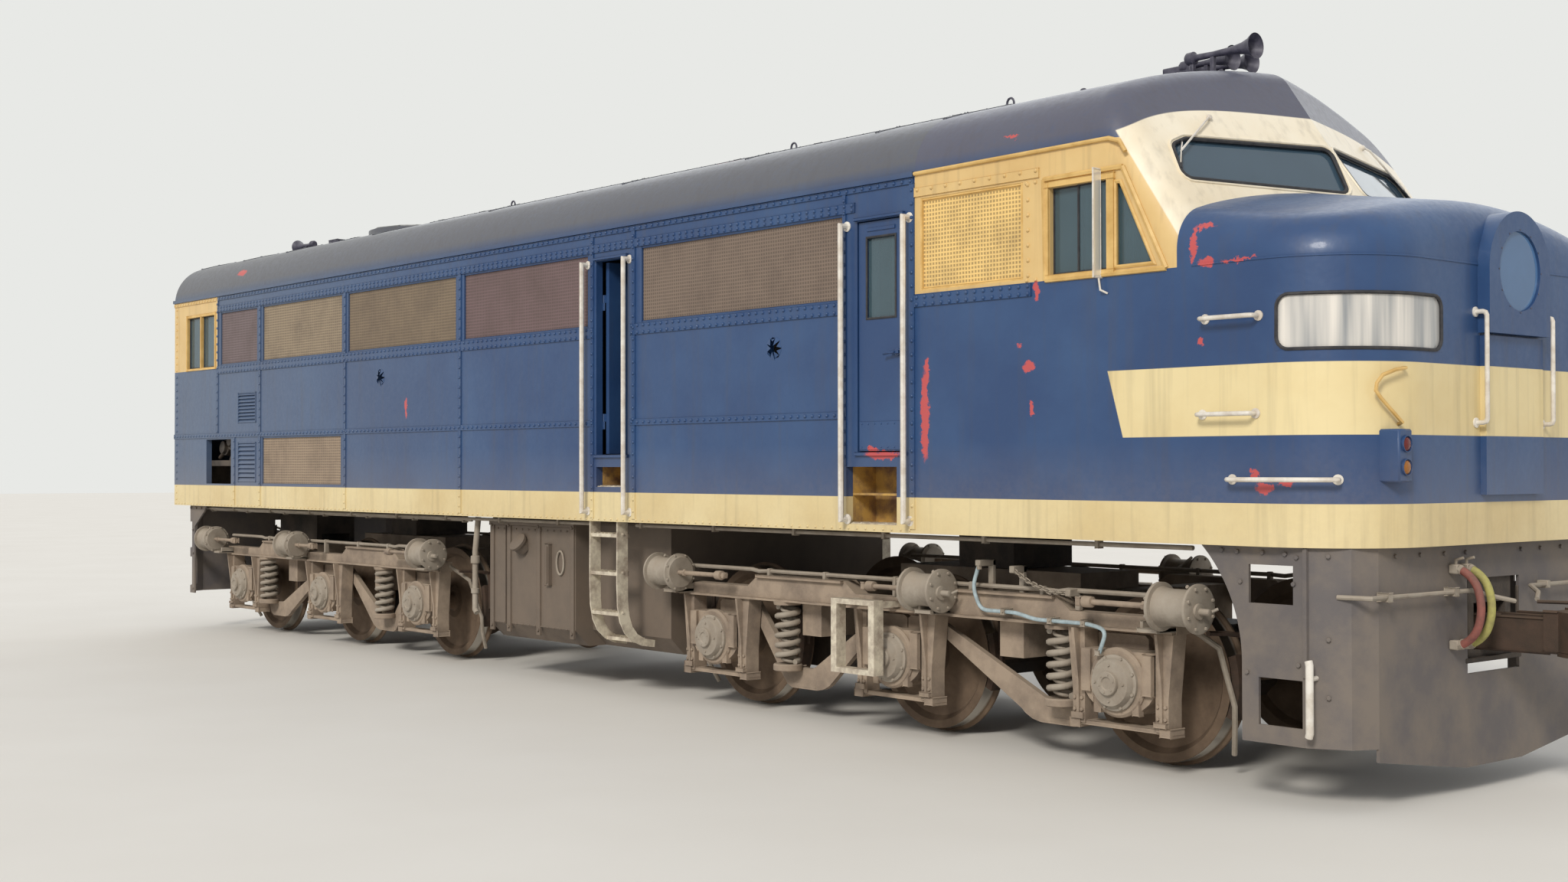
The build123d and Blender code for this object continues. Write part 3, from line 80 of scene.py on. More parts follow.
# Mesh work
class Piece:
    """One piece in the making, with its points in millimetres."""

    def __init__(self):
        self.work = bmesh.new()

    def skin(self, rings, looped=False, capped=True):
        """Faces between rings of points, with the first and last ring closed."""
        rows = [[self.work.verts.new(point) for point in ring] for ring in rings]
        if looped:
            rows.append(rows[0])
        for one, two in zip(rows, rows[1:]):
            for i, corner in enumerate(one):
                j = (i + 1) % len(one)
                self.work.faces.new((corner, one[j], two[j], two[i]))
        if capped and not looped:
            self.work.faces.new(rows[0][::-1])
            self.work.faces.new(rows[-1])

    def tube(self, points, radius, sides=8, looped=False):
        """A bar of round section along the points, mitred where it turns."""
        path = [Vector(point) for point in points]
        count = len(path) if looped else len(path) - 1
        legs = [(path[(i + 1) % len(path)] - path[i]).normalized() for i in range(count)]
        side = legs[0].orthogonal().normalized()
        rings = []
        for i, centre in enumerate(path):
            into = legs[i - 1] if i or looped else legs[0]
            mitre = (into + legs[min(i, count - 1)]).normalized()
            side = (side - into * side.dot(into)).normalized()
            up = into.cross(side)
            ring = []
            for step in range(sides):
                turn = math.tau * step / sides
                spoke = (side * math.cos(turn) + up * math.sin(turn)) * radius
                ring.append(centre + spoke - into * (spoke.dot(mitre) / max(into.dot(mitre), 0.3)))
            rings.append(ring)
        self.skin(rings, looped=looped)

    def turned(self, rows, centre, axis, sides=32):
        """A turned form from rows of distance along its axis and radius."""
        along = Vector(axis).normalized()
        side = along.orthogonal().normalized()
        up = along.cross(side)
        turns = [math.tau * step / sides for step in range(sides)]
        spokes = [side * math.cos(turn) + up * math.sin(turn) for turn in turns]
        self.skin([[Vector(centre) + along * far + s * radius for s in spokes] for far, radius in rows])

    def bar(self, low, high, bevel=0.0):
        """A rectangular bar between two corners, with its edges broken by the bevel."""
        corners = bmesh.ops.create_cube(self.work, size=1.0)["verts"]
        low, high = Vector(low), Vector(high)
        for corner in corners:
            corner.co = (low + high) / 2 + Vector(c * s for c, s in zip(corner.co, high - low))
        if bevel:
            edges = list(dict.fromkeys(edge for corner in corners for edge in corner.link_edges))
            bmesh.ops.bevel(self.work, geom=edges, offset=bevel, segments=1, affect="EDGES")

    def slab(self, outline, axis, near, far):
        """A plate with the outline, from near to far along one axis."""
        rings = []
        for depth in (near, far):
            ring = []
            for u, v in outline:
                point = [u, v]
                point.insert(axis, depth)
                ring.append(point)
            rings.append(ring)
        self.skin(rings)

    def frame(self, x0, x1, z0, z1, stile, rail, stile_span, rail_span, bevel):
        """Four bars inside the edge of a rectangle, each pair between its own two depths in y."""
        for a, b in ((x0, x0 + stile), (x1 - stile, x1)):
            self.bar((a, stile_span[0], z0), (b, stile_span[1], z1), bevel)
        for a, b in ((z0, z0 + rail), (z1 - rail, z1)):
            self.bar((x0, rail_span[0], a), (x1, rail_span[1], b), bevel)

    def seal(self, x0, x1, z0, z1, y, radius, sides):
        """A round bead along the edge of an upright pane."""
        self.tube([(x0, y, z0), (x1, y, z0), (x1, y, z1), (x0, y, z1)], radius, sides, looped=True)

    def rivets(self, start, end, out, pitch=75.0, radius=9.0):
        """A row of domed heads from start to end on a face that looks along out."""
        start, end, out = Vector(start), Vector(end), Vector(out).normalized()
        count = max(1, round((end - start).length / pitch))
        for number in range(count + 1):
            seat = start.lerp(end, number / count)
            rows = ((-1.0, radius), (radius * 0.45, radius * 0.88), (radius * 0.8, radius * 0.45))
            self.turned(rows, seat, out, sides=7)

    def bolts(self, centre, axis, ring, count, size=12.0, height=11.0):
        """A ring of hexagon heads about a centre on a face that looks along the axis."""
        along = Vector(axis).normalized()
        side = along.orthogonal().normalized()
        up = along.cross(side)
        for number in range(count):
            turn = math.tau * (number + 0.5) / count
            seat = Vector(centre) + (side * math.cos(turn) + up * math.sin(turn)) * ring
            self.turned(((-1.0, size), (height, size), (height + 2, size * 0.8)), seat, along, sides=6)

    def bolt(self, seat, axis, size, height):
        """One hexagon head on a face that looks along the axis."""
        self.bolts(seat, axis, 0.1, 1, size, height)

    def done(self, name, finish, body="body", place=None, soft=38.0, stands_for=(), slot=None):
        """Turns the work into an object in metres that rides on the body."""
        bmesh.ops.recalc_face_normals(self.work, faces=self.work.faces[:])
        self.work.transform(Matrix.Scale(0.001, 4) @ (place or Matrix.Identity(4)))
        mesh = bpy.data.meshes.new(name)
        self.work.to_mesh(mesh)
        self.work.free()
        mesh.shade_smooth()
        mesh.set_sharp_from_angle(angle=math.radians(soft))
        mesh.materials.append(finish)
        thing = bpy.data.objects.new(name, mesh)
        bpy.context.scene.collection.objects.link(thing)
        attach(thing, body)
        if stands_for:
            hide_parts(*stands_for)
        return thing


def rounded(corners, radius, steps=4):
    """Outline with each corner of the polygon rounded to the radius."""
    points = [Vector(corner) for corner in corners]
    outline = []
    for i, corner in enumerate(points):
        before = (points[i - 1] - corner).normalized()
        after = (points[(i + 1) % len(points)] - corner).normalized()
        half = before.angle(after) / 2
        reach = radius / math.tan(half)
        middle = corner + (before + after).normalized() * (radius / math.sin(half))
        one, two = corner + before * reach - middle, corner + after * reach - middle
        for step in range(steps + 1):
            way = one.lerp(two, step / steps).normalized() * radius
            outline.append(middle + way)
    return outline


# Node work
def plug(tree, node, inputs):
    """Sets a node's inputs from values, or links them to sockets."""
    for key, value in inputs.items():
        if isinstance(value, bpy.types.NodeSocket):
            tree.links.new(value, node.inputs[key])
        else:
            node.inputs[key].default_value = value


def add(tree, kind, inputs=None, out=0, **settings):
    """Adds a shader node with its settings and inputs, and gives the output that is asked for."""
    node = tree.nodes.new("ShaderNode" + kind)
    for name, value in settings.items():
        setattr(node, name, value)
    plug(tree, node, inputs or {})
    return node if out is None else node.outputs[out]


def linear(tone):
    """Linear colour of an sRGB hex value."""
    parts = [int(tone[i : i + 2], 16) / 255 for i in (1, 3, 5)]
    return (*[c / 12.92 if c <= 0.04045 else ((c + 0.055) / 1.055) ** 2.4 for c in parts], 1.0)


def kept(make):
    """Lets a finish be made once: asked for again by the same name, it gives the material it made."""

    def asked(name, *values):
        return bpy.data.materials.get(name) or make(name, *values)

    return asked


def new_finish(name):
    """Starts a material, and gives it with its tree, its shader and the object's own coordinates."""
    made = bpy.data.materials.new(name)
    made.use_nodes = True
    tree = made.node_tree
    return made, tree, tree.nodes["Principled BSDF"], add(tree, "TexCoord", out="Object")


@kept
def surface(
    name, base, worn, metallic, roughness, grain, blotch, relief, dust=0.0, dust_tone="#a39380"
):
    """A solid finish in two tones laid in blotches, with a grain in relief and dust on what faces up."""
    made, tree, shader, place = new_finish(name)
    fine = add(tree, "TexNoise", {"Vector": place, "Scale": 1000 / grain, "Detail": 3.0})
    wide = add(
        tree, "TexNoise", {"Vector": place, "Scale": 1000 / blotch, "Detail": 6.0, "Roughness": 0.65}
    )
    share = add(tree, "MapRange", {"Value": wide, "From Min": 0.40, "From Max": 0.64})
    tone = add(tree, "Mix", {0: share, 6: linear(base), 7: linear(worn)}, out=2, data_type="RGBA")
    if dust:
        facing = add(tree, "SeparateXYZ", {"Vector": add(tree, "TexCoord", out="Normal")}, out="Z")
        level = add(tree, "MapRange", {"Value": facing, "From Min": -0.6, "From Max": 1.0, "To Max": dust})
        patchy = add(tree, "MapRange", {"Value": wide, "From Min": 0.2, "From Max": 0.6})
        lie = add(tree, "Math", {0: level, 1: patchy}, operation="MULTIPLY")
        tone = add(tree, "Mix", {0: lie, 6: tone, 7: linear(dust_tone)}, out=2, data_type="RGBA")
    rough = add(
        tree, "MapRange", {"Value": wide, "To Min": roughness - 0.12, "To Max": min(1.0, roughness + 0.12)}
    )
    lift = add(tree, "Bump", {"Height": fine, "Strength": relief, "Distance": grain / 1500})
    plug(tree, shader, {"Base Color": tone, "Roughness": rough, "Normal": lift, "Metallic": metallic})
    return made


# Red primer where the blue has worn off the right-hand side: x, z, half width, half height
PRIMER = (
    (4.437, 2.12, 0.034, 0.28),
    (4.456, 2.38, 0.020, 0.10),
    (5.311, 2.39, 0.045, 0.030),
    (5.334, 2.144, 0.014, 0.040),
    (5.240, 2.52, 0.014, 0.016),
    (6.560, 2.47, 0.016, 0.020),
    (6.900, 1.755, 0.026, 0.026),
    (6.960, 1.680, 0.060, 0.030),
    (7.085, 1.712, 0.040, 0.016),
    (6.505, 3.000, 0.022, 0.100),
    (6.560, 3.105, 0.060, 0.014),
    (6.600, 2.900, 0.050, 0.022),
    (6.800, 2.895, 0.110, 0.007),
    (5.375, 2.84, 0.022, 0.055),
    (4.060, 1.870, 0.160, 0.026),
    (3.950, 1.905, 0.050, 0.022),
    (-2.230, 2.335, 0.022, 0.090),
    (-5.900, 3.86, 0.110, 0.030),
    (5.150, 3.78, 0.060, 0.010),
    (1.900, 4.10, 0.140, 0.020),
)


@kept
def enamel(name, zone):
    """Alkyd enamel sprayed on steel plate in the stripes of one zone: gloss gone dull, faded in clouds and
    greyer toward the rear, with thin vertical dirt, dust above the sill, and red primer where it has
    chipped."""
    paint = bpy.context.scene.locomotive_paint
    made, tree, shader, place = new_finish(name)
    x, y, z = add(tree, "SeparateXYZ", {"Vector": place}, out=None).outputs
    across = add(tree, "Math", {0: y}, operation="ABSOLUTE")
    wide = add(tree, "TexNoise", {"Vector": place, "Scale": 1.1, "Detail": 5.0, "Roughness": 0.6})
    speck = add(tree, "TexNoise", {"Vector": place, "Scale": 26.0, "Detail": 6.0, "Roughness": 0.7})
    run = add(tree, "VectorMath", {0: place, 1: (16.0, 16.0, 0.9)}, operation="MULTIPLY")
    streak = add(tree, "TexNoise", {"Vector": run, "Scale": 1.0, "Detail": 4.0})
    # Blue, faded in clouds, and greyer toward the rear
    cloud = add(tree, "MapRange", {"Value": wide, "From Min": 0.38, "From Max": 0.72})
    tone = add(tree, "Mix", {0: cloud, 6: paint.blue, 7: paint.faded_blue}, out=2, data_type="RGBA")
    rearward = add(tree, "MapRange", {"Value": x, "From Min": -0.5, "From Max": -7.0, "To Max": 0.60})
    tone = add(tree, "Mix", {0: rearward, 6: tone, 7: linear("#5f6b7c")}, out=2, data_type="RGBA")
    if zone in ("roof", "cab"):
        soot = add(tree, "MapRange", {"Value": z, "From Min": 3.62, "From Max": 3.74, "To Max": 0.85})
        patchy = add(tree, "MapRange", {"Value": speck, "From Min": 0.1, "From Max": 0.5, "To Min": 0.6})
        soot = add(tree, "Math", {0: soot, 1: patchy}, operation="MULTIPLY")
        tone = add(
            tree, "Mix", {0: soot, 6: tone, 7: linear("#585660" if zone == "cab" else "#5c5b5c")}, out=2,
            data_type="RGBA",
        )
    # Cream and yellow areas, each with its own edge
    areas = []
    if zone == "cab":
        # Windscreen surround: what lies near the two raked planes of the screens
        rake = add(
            tree, "VectorMath", {0: place, 1: (0.8076, 0.0, 0.5509)}, out="Value", operation="DOT_PRODUCT"
        )
        sweep = add(tree, "Math", {0: across, 1: 0.2104, 2: rake}, operation="MULTIPLY_ADD")
        shoulder = add(tree, "Math", {0: across, 1: 4.0}, operation="POWER")
        brow = add(tree, "Math", {0: shoulder, 1: 0.044, 2: z}, operation="MULTIPLY_ADD")
        areas.append((paint.yellow, [(across, 1.380, 1.384), (z, 3.668, 3.664)]))
        areas.append((paint.cream, [(sweep, 7.150, 7.156), (brow, 3.904, 3.898)]))
    if zone == "nose":
        slant = add(tree, "Math", {0: z, 1: 0.289, 2: x}, operation="MULTIPLY_ADD")
        areas.append((paint.stripe, [(slant, 6.583, 6.588), (z, 1.957, 1.960), (z, 2.339, 2.336)]))
    if zone == "side":
        areas.append((paint.yellow, [(x, -6.373, -6.377), (z, 2.858, 2.861)]))
    if zone != "roof":
        areas.append((paint.stripe, [(z, STRIPE / 1000 + 0.001, STRIPE / 1000 - 0.001)]))
    pale = None
    for colour, edges in areas:
        mask = None
        for value, start, full in edges:
            edge = add(tree, "MapRange", {"Value": value, "From Min": start, "From Max": full})
            mask = edge if mask is None else add(tree, "Math", {0: mask, 1: edge}, operation="MULTIPLY")
        aged = add(
            tree, "Mix", {0: cloud, 6: colour, 7: [c * k for c, k in zip(colour, (0.86, 0.80, 0.70, 1))]},
            out=2, data_type="RGBA",
        )
        tone = add(tree, "Mix", {0: mask, 6: tone, 7: aged}, out=2, data_type="RGBA")
        pale = mask if pale is None else add(tree, "Math", {0: pale, 1: mask}, operation="MAXIMUM")
    # Dirt run down the plate and dust thrown up from below
    dirt = add(tree, "MapRange", {"Value": streak, "From Min": 0.52, "From Max": 0.80, "To Max": 0.24})
    tone = add(tree, "Mix", {0: dirt, 6: tone, 7: linear("#4a4440")}, out=2, data_type="RGBA")
    low = add(tree, "MapRange", {"Value": z, "From Min": 1.95, "From Max": 1.37, "To Max": 0.34})
    low = add(tree, "Math", {0: low, 1: speck}, operation="MULTIPLY")
    tone = add(tree, "Mix", {0: low, 6: tone, 7: linear("#a8957c")}, out=2, data_type="RGBA")
    # Red primer in torn-edged patches
    tear = add(
        tree, "TexNoise", {"Vector": place, "Scale": 22.0, "Detail": 6.0, "Roughness": 0.7}, out="Color"
    )
    warp = add(
        tree, "VectorMath", {0: tear, 1: (0.11, 0.11, 0.11), 2: (-0.055, -0.055, -0.055)},
        operation="MULTIPLY_ADD",
    )
    torn = add(tree, "VectorMath", {0: place, 1: warp}, operation="ADD")
    far_side = add(tree, "MapRange", {"Value": y, "From Min": -0.01, "From Max": 0.01, "To Max": 40.0})
    best = None
    for px, pz, half_w, half_h in PRIMER:
        spot = add(
            tree, "VectorMath",
            {0: torn, 1: (1 / half_w, 0, 1 / half_h), 2: (-px / half_w, 0, -pz / half_h)},
            operation="MULTIPLY_ADD",
        )
        far = add(tree, "VectorMath", {0: spot}, out="Value", operation="LENGTH")
        best = far if best is None else add(tree, "Math", {0: best, 1: far}, operation="MINIMUM")
    best = add(tree, "Math", {0: best, 1: far_side}, operation="ADD")
    bare = add(tree, "MapRange", {"Value": best, "From Min": 1.12, "From Max": 0.90, "To Max": 0.9})
    chips = add(tree, "MapRange", {"Value": speck, "From Min": 0.775, "From Max": 0.79, "To Max": 0.8})
    bare = add(tree, "Math", {0: bare, 1: chips}, operation="MAXIMUM")
    tone = add(tree, "Mix", {0: bare, 6: tone, 7: paint.primer}, out=2, data_type="RGBA")
    rough = add(tree, "MapRange", {"Value": speck, "To Min": 0.26, "To Max": 0.62})
    wave = add(tree, "Bump", {"Height": wide, "Strength": 0.25, "Distance": 0.05})
    grit = add(tree, "Bump", {"Height": speck, "Strength": 0.10, "Distance": 0.004, "Normal": wave})
    plug(
        tree, shader,
        {
            "Base Color": tone, "Roughness": rough, "Normal": grit, "Coat Weight": 0.12,
            "Coat Roughness": 0.1,
        },
    )
    return made


# Tone of each grille panel of the engine room, from its rear edge in metres
GRILLE_TONES = (
    (-7.60, "#77696a"),
    (-5.32, "#988872"),
    (-3.42, "#83735f"),
    (-1.28, "#735f5f"),
    (0.80, "#7f6f62"),
    (4.30, "#f0cb82"),
)


@kept
def woven_wire(name):
    """Woven steel wire cloth, painted and filled with road dust: matt, with crossing wires drawn at
    26 mm, coarser than the real 6 mm, so that the weave shows, painted shade in the gaps between the wires,
    and each panel in its own brown."""
    made, tree, shader, place = new_finish(name)
    x, _, z = add(tree, "SeparateXYZ", {"Vector": place}, out=None).outputs
    share = add(tree, "MapRange", {"Value": x, "From Min": -8.0, "From Max": 8.0})
    ramp = add(tree, "ValToRGB", {"Fac": share}, out=None)
    ramp.color_ramp.interpolation = "CONSTANT"
    stops = ramp.color_ramp.elements
    while len(stops) < len(GRILLE_TONES):
        stops.new(0.5)
    for stop, (start, tone) in zip(stops, GRILLE_TONES):
        stop.position = (start + 8.0) / 16.0
        stop.color = linear(tone)
    tone = ramp.outputs[0]
    # The two small panels behind the missing plate are blue louvres, the low panel is grey
    for x0, x1, z1, colour in ((-5.86, -5.40, 2.65, "#4f6486"), (-5.28, -3.48, 2.12, "#a08d78")):
        inside = add(tree, "Math", {0: x, 1: (x0 + x1) / 2, 2: (x1 - x0) / 2}, operation="COMPARE")
        below = add(tree, "Math", {0: z, 1: z1}, operation="LESS_THAN")
        both = add(tree, "Math", {0: inside, 1: below}, operation="MULTIPLY")
        tone = add(tree, "Mix", {0: both, 6: tone, 7: linear(colour)}, out=2, data_type="RGBA")
    # Wires: a wave of scale 0.314 repeats once a metre
    pitch = 0.026
    weave = None
    for direction in ("X", "Z"):
        wire = add(
            tree, "TexWave", {"Vector": place, "Scale": 0.314 / pitch, "Distortion": 0.6, "Detail": 1.0},
            out="Fac", bands_direction=direction,
        )
        weave = wire if weave is None else add(tree, "Math", {0: weave, 1: wire}, operation="MAXIMUM")
    wide = add(tree, "TexNoise", {"Vector": place, "Scale": 2.6, "Detail": 6.0, "Roughness": 0.7})
    # Gaps between the wires: painted shade, dark like the room behind the cloth
    gap = add(
        tree, "MapRange",
        {"Value": weave, "From Min": 0.35, "From Max": 0.95, "To Min": 0.55, "To Max": 0.0},
    )
    tone = add(tree, "Mix", {0: gap, 6: tone, 7: linear("#3f3733")}, out=2, data_type="RGBA")
    stain = add(tree, "MapRange", {"Value": wide, "From Min": 0.45, "From Max": 0.75, "To Max": 0.45})
    tone = add(tree, "Mix", {0: stain, 6: tone, 7: linear("#4d423d")}, out=2, data_type="RGBA")
    lift = add(tree, "Bump", {"Height": weave, "Strength": 0.6, "Distance": 0.004})
    plug(tree, shader, {"Base Color": tone, "Roughness": 0.9, "Normal": lift})
    return made


@kept
def safety_glass(name, tint, roughness, body):
    """Laminated sheet glass: clear and glossy, tinted in its depth, with a film of dust; its opaque share,
    body, is painted reflection.
    """
    made, tree, shader, place = new_finish(name)
    film = add(tree, "TexNoise", {"Vector": place, "Scale": 5.0, "Detail": 5.0})
    rough = add(
        tree, "MapRange",
        {"Value": film, "From Min": 0.4, "From Max": 0.8, "To Min": roughness, "To Max": roughness + 0.12},
    )
    tone = add(
        tree, "Mix", {0: film, 6: linear(tint), 7: [c * 0.8 for c in linear(tint)[:3]] + [1]}, out=2,
        data_type="RGBA",
    )
    # The opaque share, one less the transmission, is lit like paint: painted reflection that lightens the
    # pane
    plug(
        tree, shader,
        {"Base Color": tone, "Roughness": rough, "IOR": 1.5, "Transmission Weight": 1.0 - body},
    )
    return made


@kept
def frosted_glass(name):
    """Sheet glass painted white behind: milky and soft, with upright drapes of lighter and darker wash."""
    made, tree, shader, place = new_finish(name)
    fold = add(tree, "VectorMath", {0: place, 1: (11.0, 11.0, 0.6)}, operation="MULTIPLY")
    drape = add(tree, "TexNoise", {"Vector": fold, "Scale": 1.0, "Detail": 3.0})
    share = add(tree, "MapRange", {"Value": drape, "From Min": 0.35, "From Max": 0.65})
    tone = add(tree, "Mix", {0: share, 6: linear("#8f9294"), 7: linear("#e3ddd3")}, out=2, data_type="RGBA")
    plug(
        tree, shader,
        {"Base Color": tone, "Roughness": 0.22, "IOR": 1.5, "Coat Weight": 0.6, "Coat Roughness": 0.05},
    )
    return made


@kept
def wheel_steel(name):
    """Rolled and turned steel: bright where the tread runs, brown with brake dust and oil on the disc."""
    made, tree, shader, place = new_finish(name)
    y = add(tree, "SeparateXYZ", {"Vector": place}, out="Y")
    grime = add(tree, "TexNoise", {"Vector": place, "Scale": 9.0, "Detail": 6.0, "Roughness": 0.65})
    tone = add(tree, "Mix", {0: grime, 6: linear("#4b3d33"), 7: linear("#8a7560")}, out=2, data_type="RGBA")
    facing = add(tree, "SeparateXYZ", {"Vector": add(tree, "TexCoord", out="Normal")}, out="Y")
    flat = add(tree, "Math", {0: facing}, operation="ABSOLUTE")
    across = add(tree, "Math", {0: y}, operation="ABSOLUTE")
    tread = add(tree, "MapRange", {"Value": flat, "From Min": 0.30, "From Max": 0.15})
    outer = add(tree, "MapRange", {"Value": across, "From Min": 0.715, "From Max": 0.725})
    inner = add(tree, "MapRange", {"Value": across, "From Min": 0.820, "From Max": 0.810})
    worn = add(tree, "Math", {0: tread, 1: outer}, operation="MULTIPLY")
    worn = add(tree, "Math", {0: worn, 1: inner}, operation="MULTIPLY")
    tone = add(tree, "Mix", {0: worn, 6: tone, 7: linear("#b9b4ac")}, out=2, data_type="RGBA")
    rough = add(tree, "MapRange", {"Value": worn, "To Min": 0.78, "To Max": 0.28})
    metal = add(tree, "MapRange", {"Value": worn, "To Min": 0.35, "To Max": 1.0})
    lift = add(tree, "Bump", {"Height": grime, "Strength": 0.25, "Distance": 0.01})
    plug(tree, shader, {"Base Color": tone, "Roughness": rough, "Metallic": metal, "Normal": lift})
    return made


# The plain finishes: each function with its material's name and values. Those of surface are two
# tones, metallic, roughness, grain and blotch in millimetres, relief, dust and the dust's tone
FINISHES = {
    # Sand-cast steel under years of road dust: matt, pitted, pale on every ledge
    "cast": (surface, "dusty_cast_steel", "#9d8c7a", "#6f6156", 0.0, 0.88, 7, 220, 0.5, 0.6, "#b5a48f"),
    # The same casting on its brake cylinders, painted grey and rubbed by hands: a little lighter
    "cylinder": (
        surface, "grey_painted_cast_iron", "#9a9184", "#7d7367", 0.0, 0.75, 6, 160, 0.35, 0.55, "#bcae9b"
    ),
    # Flame-cut plate painted black: dull and brown with dust low down
    "plate": (
        surface, "black_painted_plate", "#5b5758", "#6e665f", 0.0, 0.68, 5, 420, 0.2, 0.45, "#9a8b7a"
    ),
    # Folded sheet painted grey: flat, rain-marked, dusty
    "tank": (surface, "grey_painted_sheet", "#6a5d51", "#584e45", 0.0, 0.72, 6, 340, 0.2, 0.4, "#9c8d7c"),
    # Rolled channel painted black: nearly lost in shade, grey-brown with dust
    "under": (
        surface, "black_painted_channel", "#2c2826", "#4a423b", 0.0, 0.82, 8, 260, 0.3, 0.5, "#7b6d5e"
    ),
    # Cast steel left bare: rust-brown skin with darker oil
    "coupler": (surface, "bare_cast_steel", "#4b3a30", "#2f2621", 0.2, 0.78, 5, 120, 0.5, 0.35, "#85705c"),
    # Oily cast casing
    "motor": (surface, "oily_cast_iron", "#27231f", "#453b32", 0.1, 0.55, 9, 200, 0.4, 0.35, "#6f6152"),
    # Brushed-on white enamel on pipe: satin, thin at the bends
    "rail": (surface, "white_enamelled_pipe", "#e2ddd3", "#c9bfb1", 0.0, 0.45, 4, 90, 0.12, 0.15),
    # Cream enamel on bent bar and steps, scuffed by boots
    "step": (surface, "cream_enamelled_bar", "#d8cfba", "#9f9283", 0.0, 0.6, 5, 110, 0.25, 0.4, "#9c8c78"),
    # Yellow enamel on pressed frames: warm, chalky
    "yellow": (surface, "yellow_enamelled_frame", "#dcb873", "#c79f58", 0.0, 0.5, 4, 200, 0.12, 0.1),
    # The same yellow in the boot-scraped step pockets: worn to rust
    "pocket": (surface, "boot_worn_yellow_plate", "#c39a4a", "#6d4a33", 0.0, 0.75, 6, 140, 0.3, 0.45),
    # Extruded rubber: black, soft edge, greyed by sun
    "rubber": (surface, "extruded_rubber", "#26262a", "#3c3b3d", 0.0, 0.7, 2, 60, 0.15),
    # Cast horn metal painted dark: dull and sooty
    "horn": (surface, "dark_painted_brass", "#3b3a4a", "#565565", 0.15, 0.5, 3, 60, 0.2, 0.3, "#75706d"),
    # Pale green enamel inside, brushed on
    "inside": (surface, "green_enamelled_panel", "#93a79b", "#7f9187", 0.0, 0.5, 4, 300, 0.12),
    # Galvanised wire and sheet: pale spangle gone grey
    "galvanised": (surface, "galvanised_sheet", "#8f9090", "#6f706f", 0.6, 0.45, 3, 35, 0.15),
    # Polished spun aluminium behind the lamp glass
    "reflector": (surface, "spun_aluminium", "#dfe1e2", "#cfd2d4", 1.0, 0.14, 3, 80, 0.03),
    # Woven cotton braid on the hose, bleached pale blue
    "braid": (surface, "bleached_hose_braid", "#a9bcc2", "#8a9da4", 0.0, 0.8, 3, 50, 0.4, 0.3),
    # Grained vinyl seat cover
    "vinyl": (surface, "grained_black_vinyl", "#26272b", "#35363a", 0.0, 0.55, 2.5, 120, 0.35),
    # Woven cotton curtain, bleached nearly white
    "curtain": (surface, "bleached_cotton", "#d9d9d2", "#c2c3bd", 0.0, 0.9, 2, 90, 0.3),
    # Rolled wheels
    "wheel": (wheel_steel, "rolled_wheel_steel"),
}


def finish(key):
    """One plain finish by its key."""
    make, *values = FINISHES[key]
    return make(*values)


def zone_enamel(zone):
    """The body's enamel for one zone of stripes."""
    return enamel(f"striped_enamel_{zone}", zone)


# What the carried-over nodes are finished in: names, the function that gives it, its values
NODE_FINISHES = (
    ("side_right side_left", zone_enamel, "side"),
    ("nose_shell headlight_housing", zone_enamel, "nose"),
    ("cab_shell", zone_enamel, "cab"),
    ("roof roof_hatches", zone_enamel, "roof"),
    ("rear_wall rear_door engine_door_right engine_door_left", zone_enamel, "door"),
    ("cab_door_right cab_door_left", zone_enamel, "door"),
    ("grilles_right grilles_left", woven_wire, "woven_wire_cloth"),
    # Window tints: partly the glass's own tint, partly painted reflection of the sky, lit on the pane
    ("windscreens", safety_glass, "windscreen_glass_tint_and_painted_sky", "#5f7a8e", 0.03, 0.45),
    ("side_glass cab_door_glass_right", safety_glass, "sliding_window_glass", "#6f8c98", 0.03, 0.35),
    ("cab_door_glass_left", safety_glass, "sliding_window_glass", "#6f8c98", 0.03, 0.35),
    # The headlight glass's strong blue is painted shade and sky reflection, as on the shaded nose front
    ("headlight_glass", safety_glass, "pressed_lamp_glass", "#6c98cc", 0.05, 0.5),
    ("number_glass", frosted_glass, "frosted_number_glass"),
    ("handrails grab_irons", finish, "rail"),
    ("bogie_frame_front bogie_frame_rear bogie_axleboxes_front bogie_axleboxes_rear", finish, "cast"),
    ("bogie_suspension_front bogie_suspension_rear", finish, "cast"),
    ("bogie_brake_gear_front bogie_brake_gear_rear", finish, "cylinder"),
    ("bogie_steps side_ladders", finish, "step"),
    ("bogie_motors_front bogie_motors_rear engine_block fan_drive", finish, "motor"),
    ("bogie_hoses", finish, "braid"),
    ("brake_hoses", finish, "rubber"),
    ("underframe", finish, "under"),
    ("step_pockets", finish, "pocket"),
    ("couplers", finish, "coupler"),
    ("pilots marker_lights", finish, "plate"),
    ("fuel_tank", finish, "tank"),
    ("bulkhead control_desk", finish, "inside"),
    ("radiator_fan fan_guard", finish, "galvanised"),
    ("horns", finish, "horn"),
    ("seats", finish, "vinyl"),
    ("wheelset_front_1 wheelset_front_2 wheelset_front_3", finish, "wheel"),
    ("wheelset_rear_1 wheelset_rear_2 wheelset_rear_3", finish, "wheel"),
)

# Colours of the enamel: name, label, what it is, tone
COLOURS = (
    ("blue", "Blue", "Body blue where it is fresh", "#23406b"),
    ("faded_blue", "Faded blue", "Body blue bleached by sun", "#31507a"),
    ("stripe", "Stripe", "Pale yellow of the sill and nose stripes", "#e3d19f"),
    ("cream", "Cream", "Cream round the windscreens", "#f1e8d3"),
    ("yellow", "Cab yellow", "Yellow of the cab side and rear corner", "#dcbd82"),
    ("primer", "Primer", "Red primer that shows at chips", "#c5504b"),
)
